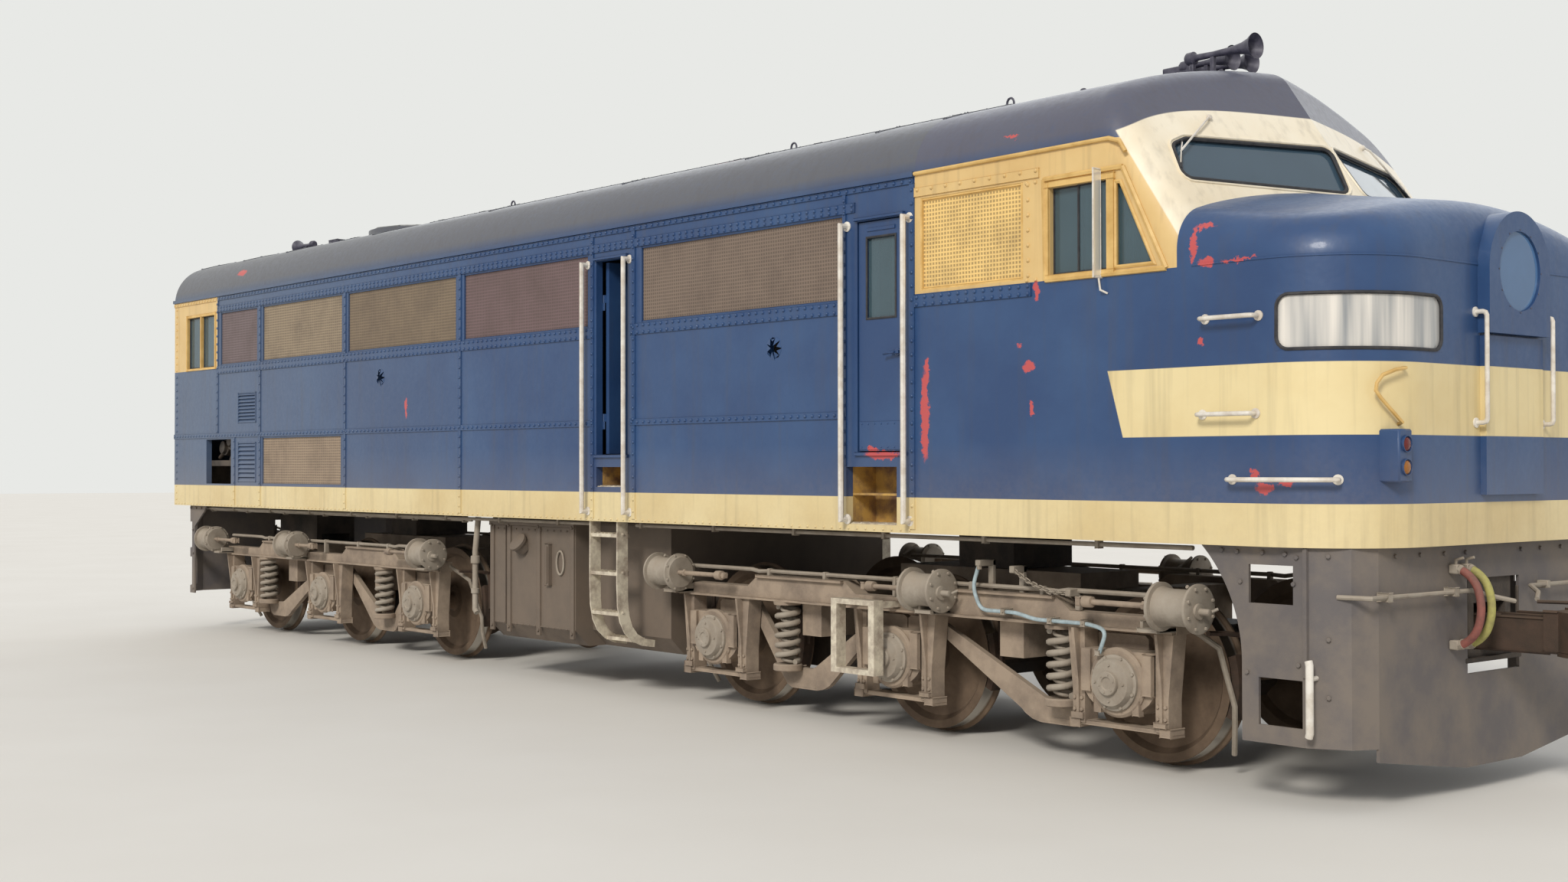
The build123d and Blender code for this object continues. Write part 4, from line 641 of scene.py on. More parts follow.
# Sizes of the fittings: name, label, what it is, least, most, value in metres
SIZES = (
    ("rivet_pitch", "Rivet pitch", "Distance between rivets of a seam", 0.03, 0.3, 0.075),
    ("rivet_radius", "Rivet radius", "Radius of a rivet head", 0.003, 0.03, 0.0135),
    ("seam_thickness", "Seam thickness", "How far a seam strip stands off the plate", 0.001, 0.02, 0.008),
    ("spring_wire", "Spring wire", "Radius of a spring's bar", 0.008, 0.04, 0.021),
)


class PaintColours(bpy.types.PropertyGroup):
    """Colours of the enamel that a user would change."""

    __annotations__ = {
        name: bpy.props.FloatVectorProperty(
            name=label, description=what, subtype="COLOR", size=4, min=0, max=1, default=linear(tone)
        )
        for name, label, what, tone in COLOURS
    }


class FittingSizes(bpy.types.PropertyGroup):
    """Sizes of the fittings that a user would change, and the strength of the key light."""

    __annotations__ = {
        name: bpy.props.FloatProperty(
            name=label, description=what, unit="LENGTH", min=least, max=most, default=value
        )
        for name, label, what, least, most, value in SIZES
    }
    __annotations__["lamp_strength"] = bpy.props.FloatProperty(
        name="Key light", description="Strength of the key light", min=0.0, max=10.0, default=2.1
    )


# The photograph's camera, fitted to the body's straight edges: place in metres, lens in millimetres
# on a 36 mm sensor, and yaw from -X, pitch and roll in degrees
CAMERA_PLACE = (12.684, -9.635, 1.800)
CAMERA_TURNS = (40.31, 0.783, -0.072)
LENS = 42.19


class LOCOMOTIVE_OT_studio(bpy.types.Operator):
    """Lay the pale floor and set the soft lights and the camera"""

    bl_idname = "locomotive.studio"
    bl_label = "Studio"

    def execute(self, context):
        scene = context.scene
        scene.view_settings.view_transform = "Standard"
        made, tree, shader, place = new_finish("pale_floor")
        tone = add(tree, "TexNoise", {"Vector": place, "Scale": 0.7, "Detail": 4.0})
        colour = add(
            tree, "Mix", {0: tone, 6: linear("#dedad2"), 7: linear("#e6e3dc")}, out=2, data_type="RGBA"
        )
        plug(tree, shader, {"Base Color": colour, "Roughness": 0.9})
        mesh = bpy.data.meshes.new("floor")
        ring = [
            (120 * math.cos(math.tau * i / 64), 120 * math.sin(math.tau * i / 64), 0)
            for i in range(64)
        ]
        mesh.from_pydata(ring, [], [list(range(64))])
        mesh.materials.append(made)
        floor = bpy.data.objects.new("floor", mesh)
        scene.collection.objects.link(floor)
        world = bpy.data.worlds.new("soft_daylight")
        scene.world = world
        world.use_nodes = True
        tree = world.node_tree
        tree.nodes.clear()
        seen = add(tree, "LightPath", out=None)
        rays = seen.outputs["Is Camera Ray"]
        for kind in ("Is Glossy Ray", "Is Transmission Ray"):
            rays = add(tree, "Math", {0: rays, 1: seen.outputs[kind]}, operation="MAXIMUM")
        lit = add(tree, "Background", {"Color": linear("#f2f4f8"), "Strength": 0.62})
        shown = add(tree, "Background", {"Color": linear("#e8e9e6"), "Strength": 1.0})
        both = add(tree, "MixShader", {0: rays, 1: lit, 2: shown})
        add(tree, "OutputWorld", {"Surface": both}, out=None)
        lamps = (
            # name, where the light comes from, share of the key light, angle in degrees
            ("key", (0.42, -0.86, 0.62), 1.0, 14.0),
            ("fill", (-0.55, 0.80, 0.50), 0.30, 60.0),
        )
        for name, source, share, angle in lamps:
            lamp = bpy.data.lights.new(name, "SUN")
            lamp.energy = context.scene.locomotive_sizes.lamp_strength * share
            lamp.angle = math.radians(angle)
            lamp.color = (1.0, 0.96, 0.90) if name == "key" else (0.94, 0.97, 1.0)
            thing = bpy.data.objects.new(name, lamp)
            thing.rotation_euler = Vector(source).to_track_quat("Z", "Y").to_euler()
            scene.collection.objects.link(thing)
        camera = bpy.data.cameras.new("camera")
        camera.sensor_width = 36.0
        camera.lens = LENS
        camera.clip_end = 300.0
        yaw, pitch, roll = (math.radians(turn) for turn in CAMERA_TURNS)
        look = Vector((-math.cos(yaw) * math.cos(pitch), math.sin(yaw) * math.cos(pitch), math.sin(pitch)))
        thing = bpy.data.objects.new("camera", camera)
        turn = look.to_track_quat("-Z", "Y").to_matrix().to_4x4() @ Matrix.Rotation(roll, 4, "Z")
        thing.matrix_world = Matrix.Translation(CAMERA_PLACE) @ turn
        scene.collection.objects.link(thing)
        scene.camera = thing
        return {"FINISHED"}


class LOCOMOTIVE_OT_paint(bpy.types.Operator):
    """Paint every part of the frame in its own finish"""

    bl_idname = "locomotive.paint"
    bl_label = "Paint the frame"

    def execute(self, context):
        plain = set(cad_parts)
        for names, make, *values in NODE_FINISHES:
            for name in names.split():
                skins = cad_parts[name].data.materials
                skins.clear()
                skins.append(make(*values))
                plain.discard(name)
        if plain:
            raise RuntimeError(f"these nodes have no finish: {sorted(plain)}")
        return {"FINISHED"}


# Raised strips over the plates' joints on each side: x0, x1, z0, z1
BELTS = (
    (-6375.0, 770.0, 2800.0, 2884.0),
    (1262.0, 3690.0, 2800.0, 2884.0),
    (-6375.0, 3790.0, 3466.0, 3530.0),
    (-7548.0, 770.0, 2112.0, 2160.0),
    (1262.0, 3690.0, 2112.0, 2160.0),
    (-7548.0, 4340.0, 3592.0, 3630.0),
    (4352.0, 5335.0, 2806.0, 2882.0),
)
CAB_BELT = (4352.0, 5400.0, 3504.0, 3560.0)
POSTS = (
    # x, z0, z1, width
    (-6377.0, 2114.0, 3592.0, 46.0),
    (-5940.0, 1400.0, 2112.0, 34.0),
    (-5315.0, 1400.0, 3466.0, 46.0),
    (-3420.0, 1400.0, 3466.0, 46.0),
    (-1275.0, 1400.0, 3466.0, 46.0),
    (747.0, 1400.0, 3592.0, 44.0),
    (1302.0, 1400.0, 3592.0, 44.0),
    (3690.0, 1800.0, 3592.0, 30.0),
    (4328.0, 1400.0, 3592.0, 44.0),
)


class LOCOMOTIVE_OT_seams(bpy.types.Operator):
    """Put the strips and rivets over the joints of the side plates"""

    bl_idname = "locomotive.seams"
    bl_label = "Seams and rivets"

    def execute(self, context):
        sizes = context.scene.locomotive_sizes
        pitch, head = sizes.rivet_pitch * 1000, sizes.rivet_radius * 1000
        proud = sizes.seam_thickness * 1000
        for name, side in SIDES:
            strips, heads = Piece(), Piece()
            face = side * (WALL + proud)
            out = (0, side, 0)
            for x0, x1, z0, z1 in BELTS:
                strips.bar((x0, side * (WALL - 4), z0), (x1, face, z1), 2.0)
                inset = 16.0 if z1 - z0 > 50 else (z1 - z0) / 2
                for z in sorted({z0 + inset, z1 - inset}):
                    heads.rivets((x0 + 22, face, z), (x1 - 22, face, z), out, pitch, head)
            for x, z0, z1, width in POSTS:
                strips.bar((x - width / 2, side * (WALL - 4), z0), (x + width / 2, face - side, z1), 2.0)
                heads.rivets((x, face - side, z0 + 60), (x, face - side, z1 - 40), out, pitch * 1.15, head)
            heads.rivets((-7490.0, side * WALL, 1440), (-7490.0, side * WALL, 3560), out, pitch, head)
            heads.rivets(
                (-7500.0, side * WALL, 1393), (4300.0, side * WALL, 1393), out, pitch * 1.1, head * 0.8
            )
            strips.done(f"seam_strips_{name}", zone_enamel("side"), slot="blue_paint")
            heads.done(f"seam_rivets_{name}", zone_enamel("side"), slot="blue_paint")
            cab = Piece()
            x0, x1, z0, z1 = CAB_BELT
            cab.bar((x0, side * (WALL - 4), z0), (x1, face, z1), 2.0)
            cab.rivets((x0 + 30, face, z1 - 14), (x1 - 20, face, z1 - 14), out, pitch * 1.6, head)
            for z in (2900.0, 3480.0):
                cab.rivets((5300, side * WALL, z), (5440, side * WALL, z), out, 60, head)
            cab.rivets((5310, side * WALL, 2930), (5310, side * WALL, 3470), out, 90, head)
            cab.done(f"cab_rivets_{name}", zone_enamel("cab"), slot="cream_paint")
        # Drip rail along the cab's eave, turned down at its front end
        rails = Piece()
        for _, side in SIDES:
            y = side * (WALL + 8)
            line = ((CAB_BACK + 4, 18), (5930, 30), (6010, 4), (6050, -60))
            rails.tube([(x, y, EAVE + rise) for x, rise in line], 13, 8)
        rails.done("cab_drip_rails", finish("yellow"), slot="yellow_paint")
        return {"FINISHED"}


GRILLES = (
    # x0, x1, z0, z1
    (-6310.0, -5370.0, 2888.0, 3463.0),
    (-5260.0, -3470.0, 2888.0, 3463.0),
    (-3370.0, -1330.0, 2888.0, 3463.0),
    (-1220.0, 700.0, 2888.0, 3463.0),
    (1390.0, 3680.0, 2888.0, 3463.0),
    (-5270.0, -3490.0, 1615.0, 2108.0),
    (4400.0, 5270.0, 2908.0, 3490.0),
)
BLADES = 9
LOUVRES = (
    (-5850.0, -5410.0, 2260.0, 2580.0),
    (-5850.0, -5410.0, 1640.0, 2055.0),
)


class LOCOMOTIVE_OT_grilles(bpy.types.Operator):
    """Frame the mesh panels and fit the louvre blades and the torn plate edges"""

    bl_idname = "locomotive.grilles"
    bl_label = "Grilles and louvres"

    def execute(self, context):
        for name, side in SIDES:
            frames, cab_frame, blades = Piece(), Piece(), Piece()
            for x0, x1, z0, z1 in GRILLES:
                work = cab_frame if x0 > CAB_BACK else frames
                stiles, rails = ((side * (WALL - 16 - low), side * (WALL - low)) for low in (3, 4.5))
                work.frame(x0, x1, z0, z1, 16, 14, stiles, rails, 3.0)
            for x0, x1, z0, z1 in LOUVRES:
                step = (z1 - z0) / BLADES
                for number in range(BLADES):
                    z = z0 + step * (number + 0.2)
                    rows = ((-14, z + step * 0.75), (-11, z + step * 0.75), (7, z), (4, z - 2))
                    blades.slab([(side * (WALL + out), high) for out, high in rows], 0, x0 + 14, x1 - 14)
                stiles, rails = (
                    (side * (WALL - 16 + proud / 2), side * (WALL + proud)) for proud in (4, 2.5)
                )
                blades.frame(x0, x1, z0, z1, 14, 10, stiles, rails, 2.0)
            frames.done(f"grille_frames_{name}", zone_enamel("door"), slot="blue_paint")
            cab_frame.done(f"cab_grille_frame_{name}", finish("yellow"), slot="yellow_paint")
            blades.done(f"louvre_blades_{name}", zone_enamel("door"), slot="blue_paint")
        torn = Piece()
        for x, z in ((2960.0, 2614.0), (-2714.0, 2626.0)):
            count = 9
            for number in range(count):
                one, two = (math.tau * (number + shift) / count for shift in (0.0, 0.9))
                reach = 78 + 9 * math.sin(number * 2.4)
                tip = 34 + 16 * math.sin(number * 4.1)
                mid = (one + two) / 2
                curl = 6 + 12 * abs(math.sin(number * 1.7))
                base = [(x + reach * math.cos(a), -WALL - 1, z + reach * math.sin(a)) for a in (one, two)]
                point = (x + tip * math.cos(mid), -WALL - curl, z + tip * math.sin(mid))
                inner = [(p[0], p[1] + 3, p[2]) for p in (*base, point)]
                torn.skin([[*base, point], inner])
        torn.done("torn_plate_edges", zone_enamel("door"), slot="blue_paint")
        return {"FINISHED"}


def screen_point(side, across, up, out=0.0):
    """Point on a windscreen's plane, out from the centre, up the slope and off the glass."""
    sweep, rake = math.radians(14.6), math.radians(34.3)
    foot = Vector((-math.sin(sweep), side * math.cos(sweep), 0))
    slope = Vector((-math.sin(rake), 0, math.cos(rake)))
    normal = (foot.cross(slope) * side).normalized()
    rise = (slope - foot * foot.dot(slope)).normalized()
    return Vector((6624, 0, 3385)) + foot * across + rise * up + normal * out


NOSE_R = 577.0
NUMBER_X, NUMBER_END = 7030.0, 700.0


def nose_length(start):
    """Length of the nose's plan from start on its side, round the corner, to the middle of its front."""
    return NOSE - NOSE_R - start + NOSE_R * math.pi / 2 + WALL - NOSE_R


def nose_point(side, start, along, z, out=0.0):
    """Point on the nose's skin, so far round its plan from start, and off the skin."""
    straight = NOSE - NOSE_R - start
    radius = NOSE_R + out
    turn = min(max(along - straight, 0) / NOSE_R, math.pi / 2)
    x = start + min(along, straight) + radius * math.sin(turn)
    y = WALL - NOSE_R + radius * math.cos(turn) - max(along - straight - NOSE_R * math.pi / 2, 0)
    return Vector((x, side * y, z))


# Corners of a windscreen's seal and of the trim round it, on its plane
SCREEN = ((90, 25), (1290, 45), (1265, 300), (1150, 355), (60, 375))
TRIM = ((66, 2), (1312, 22), (1288, 316), (1160, 378), (38, 398))


def number_edges():
    """Outer and inner edge of the number glass's surround, point for point, along the nose and up."""
    length = nose_length(NUMBER_X) - NUMBER_END
    sharp = [(-4, 2398), (length + 4, 2398), (length + 4, 2702), (-4, 2702)]
    soft = rounded([(4, 2406), (length - 4, 2406), (length - 4, 2694), (4, 2694)], 66, 5)
    outer, inner = [], []
    for i, corner in enumerate(sharp):
        arc, after = soft[i * 6 : i * 6 + 6], soft[(i * 6 + 6) % len(soft)]
        inner += arc
        outer += [Vector(corner)] * 6
        count = 12 if i % 2 == 0 else 2
        far = Vector(sharp[(i + 1) % 4])
        for step in range(1, count):
            inner.append(arc[-1].lerp(after, step / count))
            outer.append(Vector(corner).lerp(far, step / count))
    return outer, inner


class LOCOMOTIVE_OT_windows(bpy.types.Operator):
    """Fit the window frames, their rubber seals, the wipers and the draught screens"""

    bl_idname = "locomotive.windows"
    bl_label = "Windows and wipers"

    def execute(self, context):
        seals, wipers, blades, trims = Piece(), Piece(), Piece(), Piece()
        for _, side in SIDES:
            outline = rounded(SCREEN, 60)
            seals.tube([screen_point(side, p.x, p.y, -4) for p in outline], 13, 6, looped=True)
            trims.tube([screen_point(side, p.x, p.y, 2) for p in rounded(TRIM, 76)], 8, 6, looped=True)
            # Wiper: spindle above the pane, bent arm and blade on the glass
            spindle = screen_point(side, 905, 532, 14)
            tip = screen_point(side, 1235, 240, 12)
            wipers.turned(
                ((-24, 17), (6, 17), (12, 9)), spindle,
                screen_point(side, 0, 0, 1) - screen_point(side, 0, 0), 12,
            )
            wipers.tube([spindle, screen_point(side, 945, 500, 28), tip], 7, 6)
            blades.tube([screen_point(side, 1190, 330, 6), screen_point(side, 1285, 110, 6)], 6, 5)
            wipers.tube([screen_point(side, 1196, 310, 10), tip, screen_point(side, 1275, 150, 10)], 4, 5)
        seals.done("windscreen_seals", finish("rubber"))
        trims.done("windscreen_trims", zone_enamel("cab"), slot="cream_paint")
        wipers.done("wiper_arms", finish("rail"))
        blades.done("wiper_blades", finish("rubber"))
        for name, side in SIDES:
            frames, rubbers = Piece(), Piece()
            y0, y1 = side * (WALL - 6), side * (WALL + 13)
            # Frame round the sliding pair and the quarter light, as one surround with a post between
            surround = [(5436, 3484), (6026, 3490), (6330, 2890), (5450, 2890)]
            for one, two in zip(surround, surround[1:] + surround[:1]):
                frames.tube([(x, side * (WALL + 2), z) for x, z in (one, two)], 16, 6)
            edges = (
                # x0, x1, z0, z1, how much lower the bar lies than the ones it meets
                (5452, 5478, 2892, 3462, 1.5),
                (5917, 5968, 2892, 3462, 1.5),
                (5450, 5970, 3432, 3466, 0),
                (5450, 5970, 2890, 2918, 0),
            )
            for x0, x1, z0, z1, low in edges:
                frames.bar((x0, y0 + side * low, z0), (x1, y1 - side * low, z1), 4.0)
            quarter = [(5970, 2925), (6245, 2925), (6010, 3410), (5970, 3410)]
            frames.tube([(x, side * (WALL - 3), z) for x, z in quarter], 13, 6, looped=True)
            for x0, x1, inset in ((5482, 5712, 38), (5682, 5913, 24)):
                rubbers.seal(x0, x1, 2924, 3428, side * (WALL - inset), 9, 5)
            frames.done(f"cab_window_frame_{name}", finish("yellow"), slot="yellow_paint")
            x0, x1, z0, z1 = -7180, -6440, 2880, 3450
            middle = (x0 + x1) / 2
            for start, stop in ((x0, middle + 14), (middle - 14, x1)):
                rubbers.seal(start + 8, stop - 8, z0 + 8, z1 - 8, side * (WALL - 26), 9, 5)
            rear = Piece()
            edges = (
                (x0 - 26, x0 + 4, z0 - 20, z1 + 24),
                (x1 - 4, x1 + 26, z0 - 20, z1 + 24),
                (x0, x1, z1 - 4, z1 + 24),
                (x0, x1, z0 - 20, z0 + 4),
                (middle - 12, middle + 12, z0, z1),
            )
            for a, b, low, high in edges:
                proud = 9 if b - a < 60 else 7.5
                rear.bar((a, side * (WALL - 11 - proud), low), (b, side * (WALL + proud), high), 3.0)
            rear.done(f"rear_window_frame_{name}", finish("yellow"), slot="yellow_paint")
            # Number glass: a surround with round corners, run round the nose, and the seal within it
            around, inner_edge = number_edges()
            surround = Piece()
            loops = ((around, 1), (inner_edge, 3), (inner_edge, -10), (around, -6))
            rings = [[nose_point(side, NUMBER_X, p.x, p.y, out) for p in edge] for edge, out in loops]
            surround.skin(rings, looped=True)
            surround.done(f"number_glass_surround_{name}", zone_enamel("nose"), slot="blue_paint")
            rubbers.tube([nose_point(side, NUMBER_X, p.x, p.y, 0) for p in inner_edge], 10, 6, looped=True)
            rubbers.done(f"side_window_seals_{name}", finish("rubber"))
            door = Piece()
            door.seal(3893, 4167, 2760, 3290, side * (WALL - 9), 8, 6)
            door.done(f"cab_door_seal_{name}", finish("rubber"), body=f"cab_door_{name}")
            # Draught screen: a glass blade in a bright frame ahead of the sliding pair
            screen, edge = Piece(), Piece()
            x = 5872
            screen.bar((x - 4, side * (WALL + 16), 2880), (x + 4, side * (WALL + 76), 3486), 2.0)
            pane = ((14, 2874), (76, 2874), (76, 3492), (14, 3492))
            edge.tube([(x, side * (WALL + out), z) for out, z in pane], 6, 6, looped=True)
            for z in (2874, 3492):
                edge.tube([(x, side * (WALL - 2), z), (x, side * (WALL + 60), z)], 7, 6)
            stay = ((0, 30, 2874), (13, 30, 2800), (43, 2, 2780))
            edge.tube([(x + far, side * (WALL + out), z) for far, out, z in stay], 6, 6)
            screen.done(f"draught_screen_{name}", safety_glass("clear_screen_glass", "#e6eeee", 0.06, 0.6))
            edge.done(f"draught_screen_frame_{name}", finish("rail"))
        return {"FINISHED"}


class LOCOMOTIVE_OT_lamps(bpy.types.Operator):
    """Fit the headlight's reflector and rim and the marker lamps"""

    bl_idname = "locomotive.lamps"
    bl_label = "Lamps"

    def execute(self, context):
        lamp_x, lamp_z = 7600.0, 2868.0
        rim, bowl, bulb = Piece(), Piece(), Piece()
        rim.turned(
            ((-20, 238), (2, 238), (2, 236), (-4, 222), (-16, 219)), (lamp_x - 6, 0, lamp_z), (1, 0, 0), 48
        )
        rim.bolts((lamp_x - 4, 0, lamp_z), (1, 0, 0), 229, 12, 5, 5)
        bowl.turned(
            ((-44.4, 60), (-43.0, 90), (-38, 140), (-30, 180), (-16, 214), (-15, 218), (-44.6, 218.5)),
            (lamp_x, 0, lamp_z), (1, 0, 0), 48,
        )
        for side in (-1, 1):
            bulb.turned(
                ((0, 6), (3, 24), (16, 30), (24, 20), (27, 6)), (lamp_x - 43, side * 85, lamp_z),
                (1, 0, 0), 20,
            )
        rim.done("headlight_rim", finish("horn"))
        bowl.done("headlight_reflector", finish("reflector"))
        bulb.done("headlight_bulbs", safety_glass("sealed_beam_glass", "#f2f4f4", 0.1, 0.3))
        tones = (("red", 1910.0, "#8f1d17"), ("amber", 1790.0, "#d8872a"))
        cases = Piece()
        for _, side in SIDES:
            y = side * 1120
            cases.bar((7352, y - 62, 1713), (7570, y + 62, 1987), 9.0)
            for _, z, _ in tones:
                cases.turned(((-4, 44), (14, 44), (15, 41), (4, 38)), (7568, y, z), (1, 0, 0), 24)
        cases.done("marker_cases", zone_enamel("door"), stands_for=("marker_lights",))
        for name, z, tone in tones:
            lens = Piece()
            for _, side in SIDES:
                lens.turned(((-6, 36), (6, 35), (13, 26), (16, 10)), (7570, side * 1120, z), (1, 0, 0), 24)
            lens.done(f"marker_lens_{name}", safety_glass(f"moulded_{name}_lens", tone, 0.12, 0.5))
        return {"FINISHED"}


# Outer curve of a horn: share of its length, radius
FLARE = ((0.4, 19), (0.68, 26), (0.82, 38), (0.92, 56), (0.98, 76))


class LOCOMOTIVE_OT_horns(bpy.types.Operator):
    """Fit the flared horns on the roof"""

    bl_idname = "locomotive.horns"
    bl_label = "Horns"

    def execute(self, context):
        work = Piece()
        rows = (
            # x of the closed end, y, height of the axis, length, way the bell faces
            (5480.0, -170.0, 4372.0, 520.0, 1),
            (5300.0, 170.0, 4372.0, 430.0, 1),
            (5330.0, -30.0, 4364.0, 400.0, 1),
            (-6750.0, -170.0, 4342.0, 420.0, -1),
            (-6550.0, 170.0, 4342.0, 360.0, -1),
        )
        for x, y, z, length, way in rows:
            bell = [(0, 30), (12, 40), (58, 42), (70, 22)]
            bell += [(length * share, radius) for share, radius in FLARE]
            bell += [(length, 80), (length - 6, 78), (length * 0.93, 50), (length * 0.86, 30)]
            work.turned(bell, (x, y, z), (way, 0, 0), 28)
            for far in (45, 200):
                foot = x + way * far
                work.bar((foot - 14, y - 16, 4205), (foot + 14, y + 16, z - 15), 3.0)
                work.bar((foot - 30, y - 34, 4200), (foot + 30, y + 34, 4226), 3.0)
            work.tube(
                [(x + way * 20, y, z - 20), (x + way * 20, y * 0.5, 4240), (x - way * 60, y * 0.3, 4228)],
                8, 6,
            )
        for x, way in ((5330.0, 1), (-6520.0, -1)):
            work.bar((x - 150, -80, 4212), (x + 150, 80, 4300), 6.0)
            work.bar((x - way * 130, -62, 4298), (x + way * 90, 62, 4374), 6.0)
            work.bolts((x, 0, 4374), (0, 0, 1), 44, 4, 9, 8)
        work.done("roof_horns", finish("horn"), stands_for=("horns",), slot="horn_metal")
        return {"FINISHED"}


def roof_height(y):
    """Height of the roof's outer skin at y, in millimetres."""
    shoulder = 430.0
    half, drop = WALL - shoulder, CROWN - EAVE
    radius = (half**2 + drop**2 - shoulder**2) / (2 * (drop - shoulder))
    return CROWN - radius + math.sqrt(radius**2 - y**2)


class LOCOMOTIVE_OT_roof(bpy.types.Operator):
    """Fit the roof's joint straps, hatch latches and lifting rings"""

    bl_idname = "locomotive.roof_fittings"
    bl_label = "Roof fittings"

    def execute(self, context):
        straps, rings, trims = Piece(), Piece(), Piece()
        half = 1180.0
        for x in (-7500.0, -6375.0, -5315.0, -3420.0, -1275.0, 747.0, 2300.0, 3690.0, 4330.0):
            section = []
            for step in range(25):
                y = -half + 2 * half * step / 24
                if x in (-5315.0, -3420.0) or abs(y) > 500 or x > 4300 or x < -6000:
                    section.append((y, roof_height(y)))
            groups, last = [], None
            for y, z in section:
                if last is None or y - last > 110:
                    groups.append([])
                groups[-1].append((y, z))
                last = y
            for group in groups:
                lower = [(y, z - 4) for y, z in group]
                upper = [(y, z + 6) for y, z in reversed(group)]
                straps.slab(lower + upper, 0, x - 22, x + 22)
                for y, z in group[::2]:
                    straps.rivets((x - 12, y, z + 5), (x + 12, y, z + 5), (0, y / 2400, 1), 24, 7)
        straps.done("roof_straps", zone_enamel("roof"), slot="roof_paint")
        for x in (1805.0, 4091.0, 4739.0, -2300.0, -6100.0):
            for _, side in SIDES:
                y = side * 300
                z = roof_height(300) + (38 if x < 4250 and x > -5540 else -2)
                arc = [(x - 32, y, z)]
                for step in range(9):
                    turn = math.pi * step / 8
                    arc.append((x - 32 * math.cos(turn), y, z + 34 + 38 * math.sin(turn)))
                arc.append((x + 32, y, z))
                rings.tube(arc, 8, 6)
                rings.bar((x - 52, y - 22, z - 6), (x + 52, y + 22, z + 9), 3.0)
        rings.done("lifting_rings", finish("horn"))
        hatches = (
            (-5540.0, -5100.0), (-3590.0, -2300.0), (-2280.0, -540.0), (-520.0, 1800.0), (1820.0, 4250.0)
        )
        for x0, x1 in hatches:
            for _, side in SIDES:
                y = side * 452
                z = roof_height(452) + 42
                trims.rivets((x0 + 60, y, z - 3), (x1 - 60, y, z - 3), (0, side * 0.2, 1), 180, 10)
                for share in (0.2, 0.8):
                    x = x0 + (x1 - x0) * share
                    trims.bar((x - 40, side * 466, z - 34), (x + 40, side * 492, z - 6), 3.0)
        trims.done("hatch_latches", zone_enamel("roof"), slot="roof_paint")
        stack = Piece()
        for x in (-1500.0, 600.0):
            stack.bar((x - 210, -90, 4262), (x + 210, 90, 4300), 6.0)
            stack.bar((x - 180, -66, 4296), (x + 180, 66, 4306), 2.0)
        stack.done("exhaust_caps", finish("motor"))
        return {"FINISHED"}


FOOT = ((-2, 28), (7, 28), (10, 20))
# Grab irons on the nose: x of the rear foot, length along the skin, height
IRONS = (
    (6590.0, 340.0, 2590.0),
    (6570.0, 340.0, 2075.0),
    (6762.0, 585.0, 1726.0),
)


class LOCOMOTIVE_OT_fittings(bpy.types.Operator):
    """Fit the rails' feet, the nose's grab irons and loops, its lid's joint and the step treads"""

    bl_idname = "locomotive.body_fittings"
    bl_label = "Body fittings"

    def execute(self, context):
        feet, irons, loops, kicks = Piece(), Piece(), Piece(), Piece()
        for _, side in SIDES:
            out = (0, side, 0)
            for x in (690.0, 1250.0, 3715.0, 4305.0):
                for z in (1450.0, 3380.0):
                    feet.turned(((-2, 34), (7, 34), (11, 24)), (x, side * WALL, z), out, 14)
                    feet.bolts((x, side * (WALL + 7), z), out, 27, 4, 4, 4)
            for start, span, z in IRONS:
                for along in (0.0, span):
                    seat = nose_point(side, start, along, z)
                    facing = nose_point(side, start, along, z, 1) - seat
                    feet.turned(FOOT, seat, facing, 14)
                ends = ((0.0, -3), (0.0, 44), (6.0, 60), (22.0, 68))
                path = [nose_point(side, start, along, z, out) for along, out in ends]
                path += [
                    nose_point(side, start, 22 + (span - 44) * step / 12, z, 68)
                    for step in range(1, 12)
                ]
                path += [nose_point(side, start, span - along, z, out) for along, out in reversed(ends)]
                irons.tube(path, 13, 10)
            y = side * 360
            bend = (
                (-3, 2030), (46, 2030), (62, 2036), (69, 2052), (69, 2608), (62, 2624), (46, 2630),
                (-3, 2630),
            )
            irons.tube([(NOSE + out, y, z) for out, z in bend], 13, 10)
            for z in (2030.0, 2630.0):
                feet.turned(FOOT, (NOSE, side * 360, z), (1, 0, 0), 14)
            # Three-cornered loop at the nose's corner
            start = NOSE - NOSE_R
            rows = (
                (75, 2304, -3), (74, 2303, 30), (67, 2292, 46), (60, 2264, 50), (57, 2222, 50),
                (56.5, 2184, 50), (59, 2146, 50), (71, 2022, 40), (72, 2012, -3),
            )
            loops.tube(
                [nose_point(side, start, NOSE_R * math.radians(turn), z, out) for turn, z, out in rows],
                10, 8,
            )
            # Boot-worn sill plates in the step pockets
            for x0, x1, z in ((804.0, 1146.0, 1642.0), (3704.0, 4176.0, 1422.0)):
                kicks.bar((x0, side * (WALL - 8), z - 3), (x1, side * (WALL - 190), z + 6), 2.0)
                for number in range(6):
                    x = x0 + (x1 - x0) * (number + 0.5) / 6
                    kicks.bar((x - 8, side * (WALL - 20), z + 5), (x + 8, side * (WALL - 170), z + 10), 1.5)
        lid = Piece()
        start, span = 6500.0, nose_length(6500.0) - 335
        path = [span * step / 40 for step in range(41)]
        for _, side in SIDES:
            rings = []
            for along in path:
                rings.append(
                    [
                        nose_point(side, start, along, z, out)
                        for z, out in ((2884, -3), (2886, 5), (2896, 5), (2899, -3))
                    ]
                )
            lid.skin(rings)
        lid.done("nose_lid_joint", zone_enamel("nose"), slot="blue_paint")
        feet.done("rail_feet", finish("rail"), slot="rail_paint")
        irons.done("nose_grab_irons", finish("rail"), stands_for=("grab_irons",), slot="rail_paint")
        loops.done("corner_loops", finish("yellow"), slot="yellow_paint")
        kicks.done("step_treads", finish("step"))
        return {"FINISHED"}


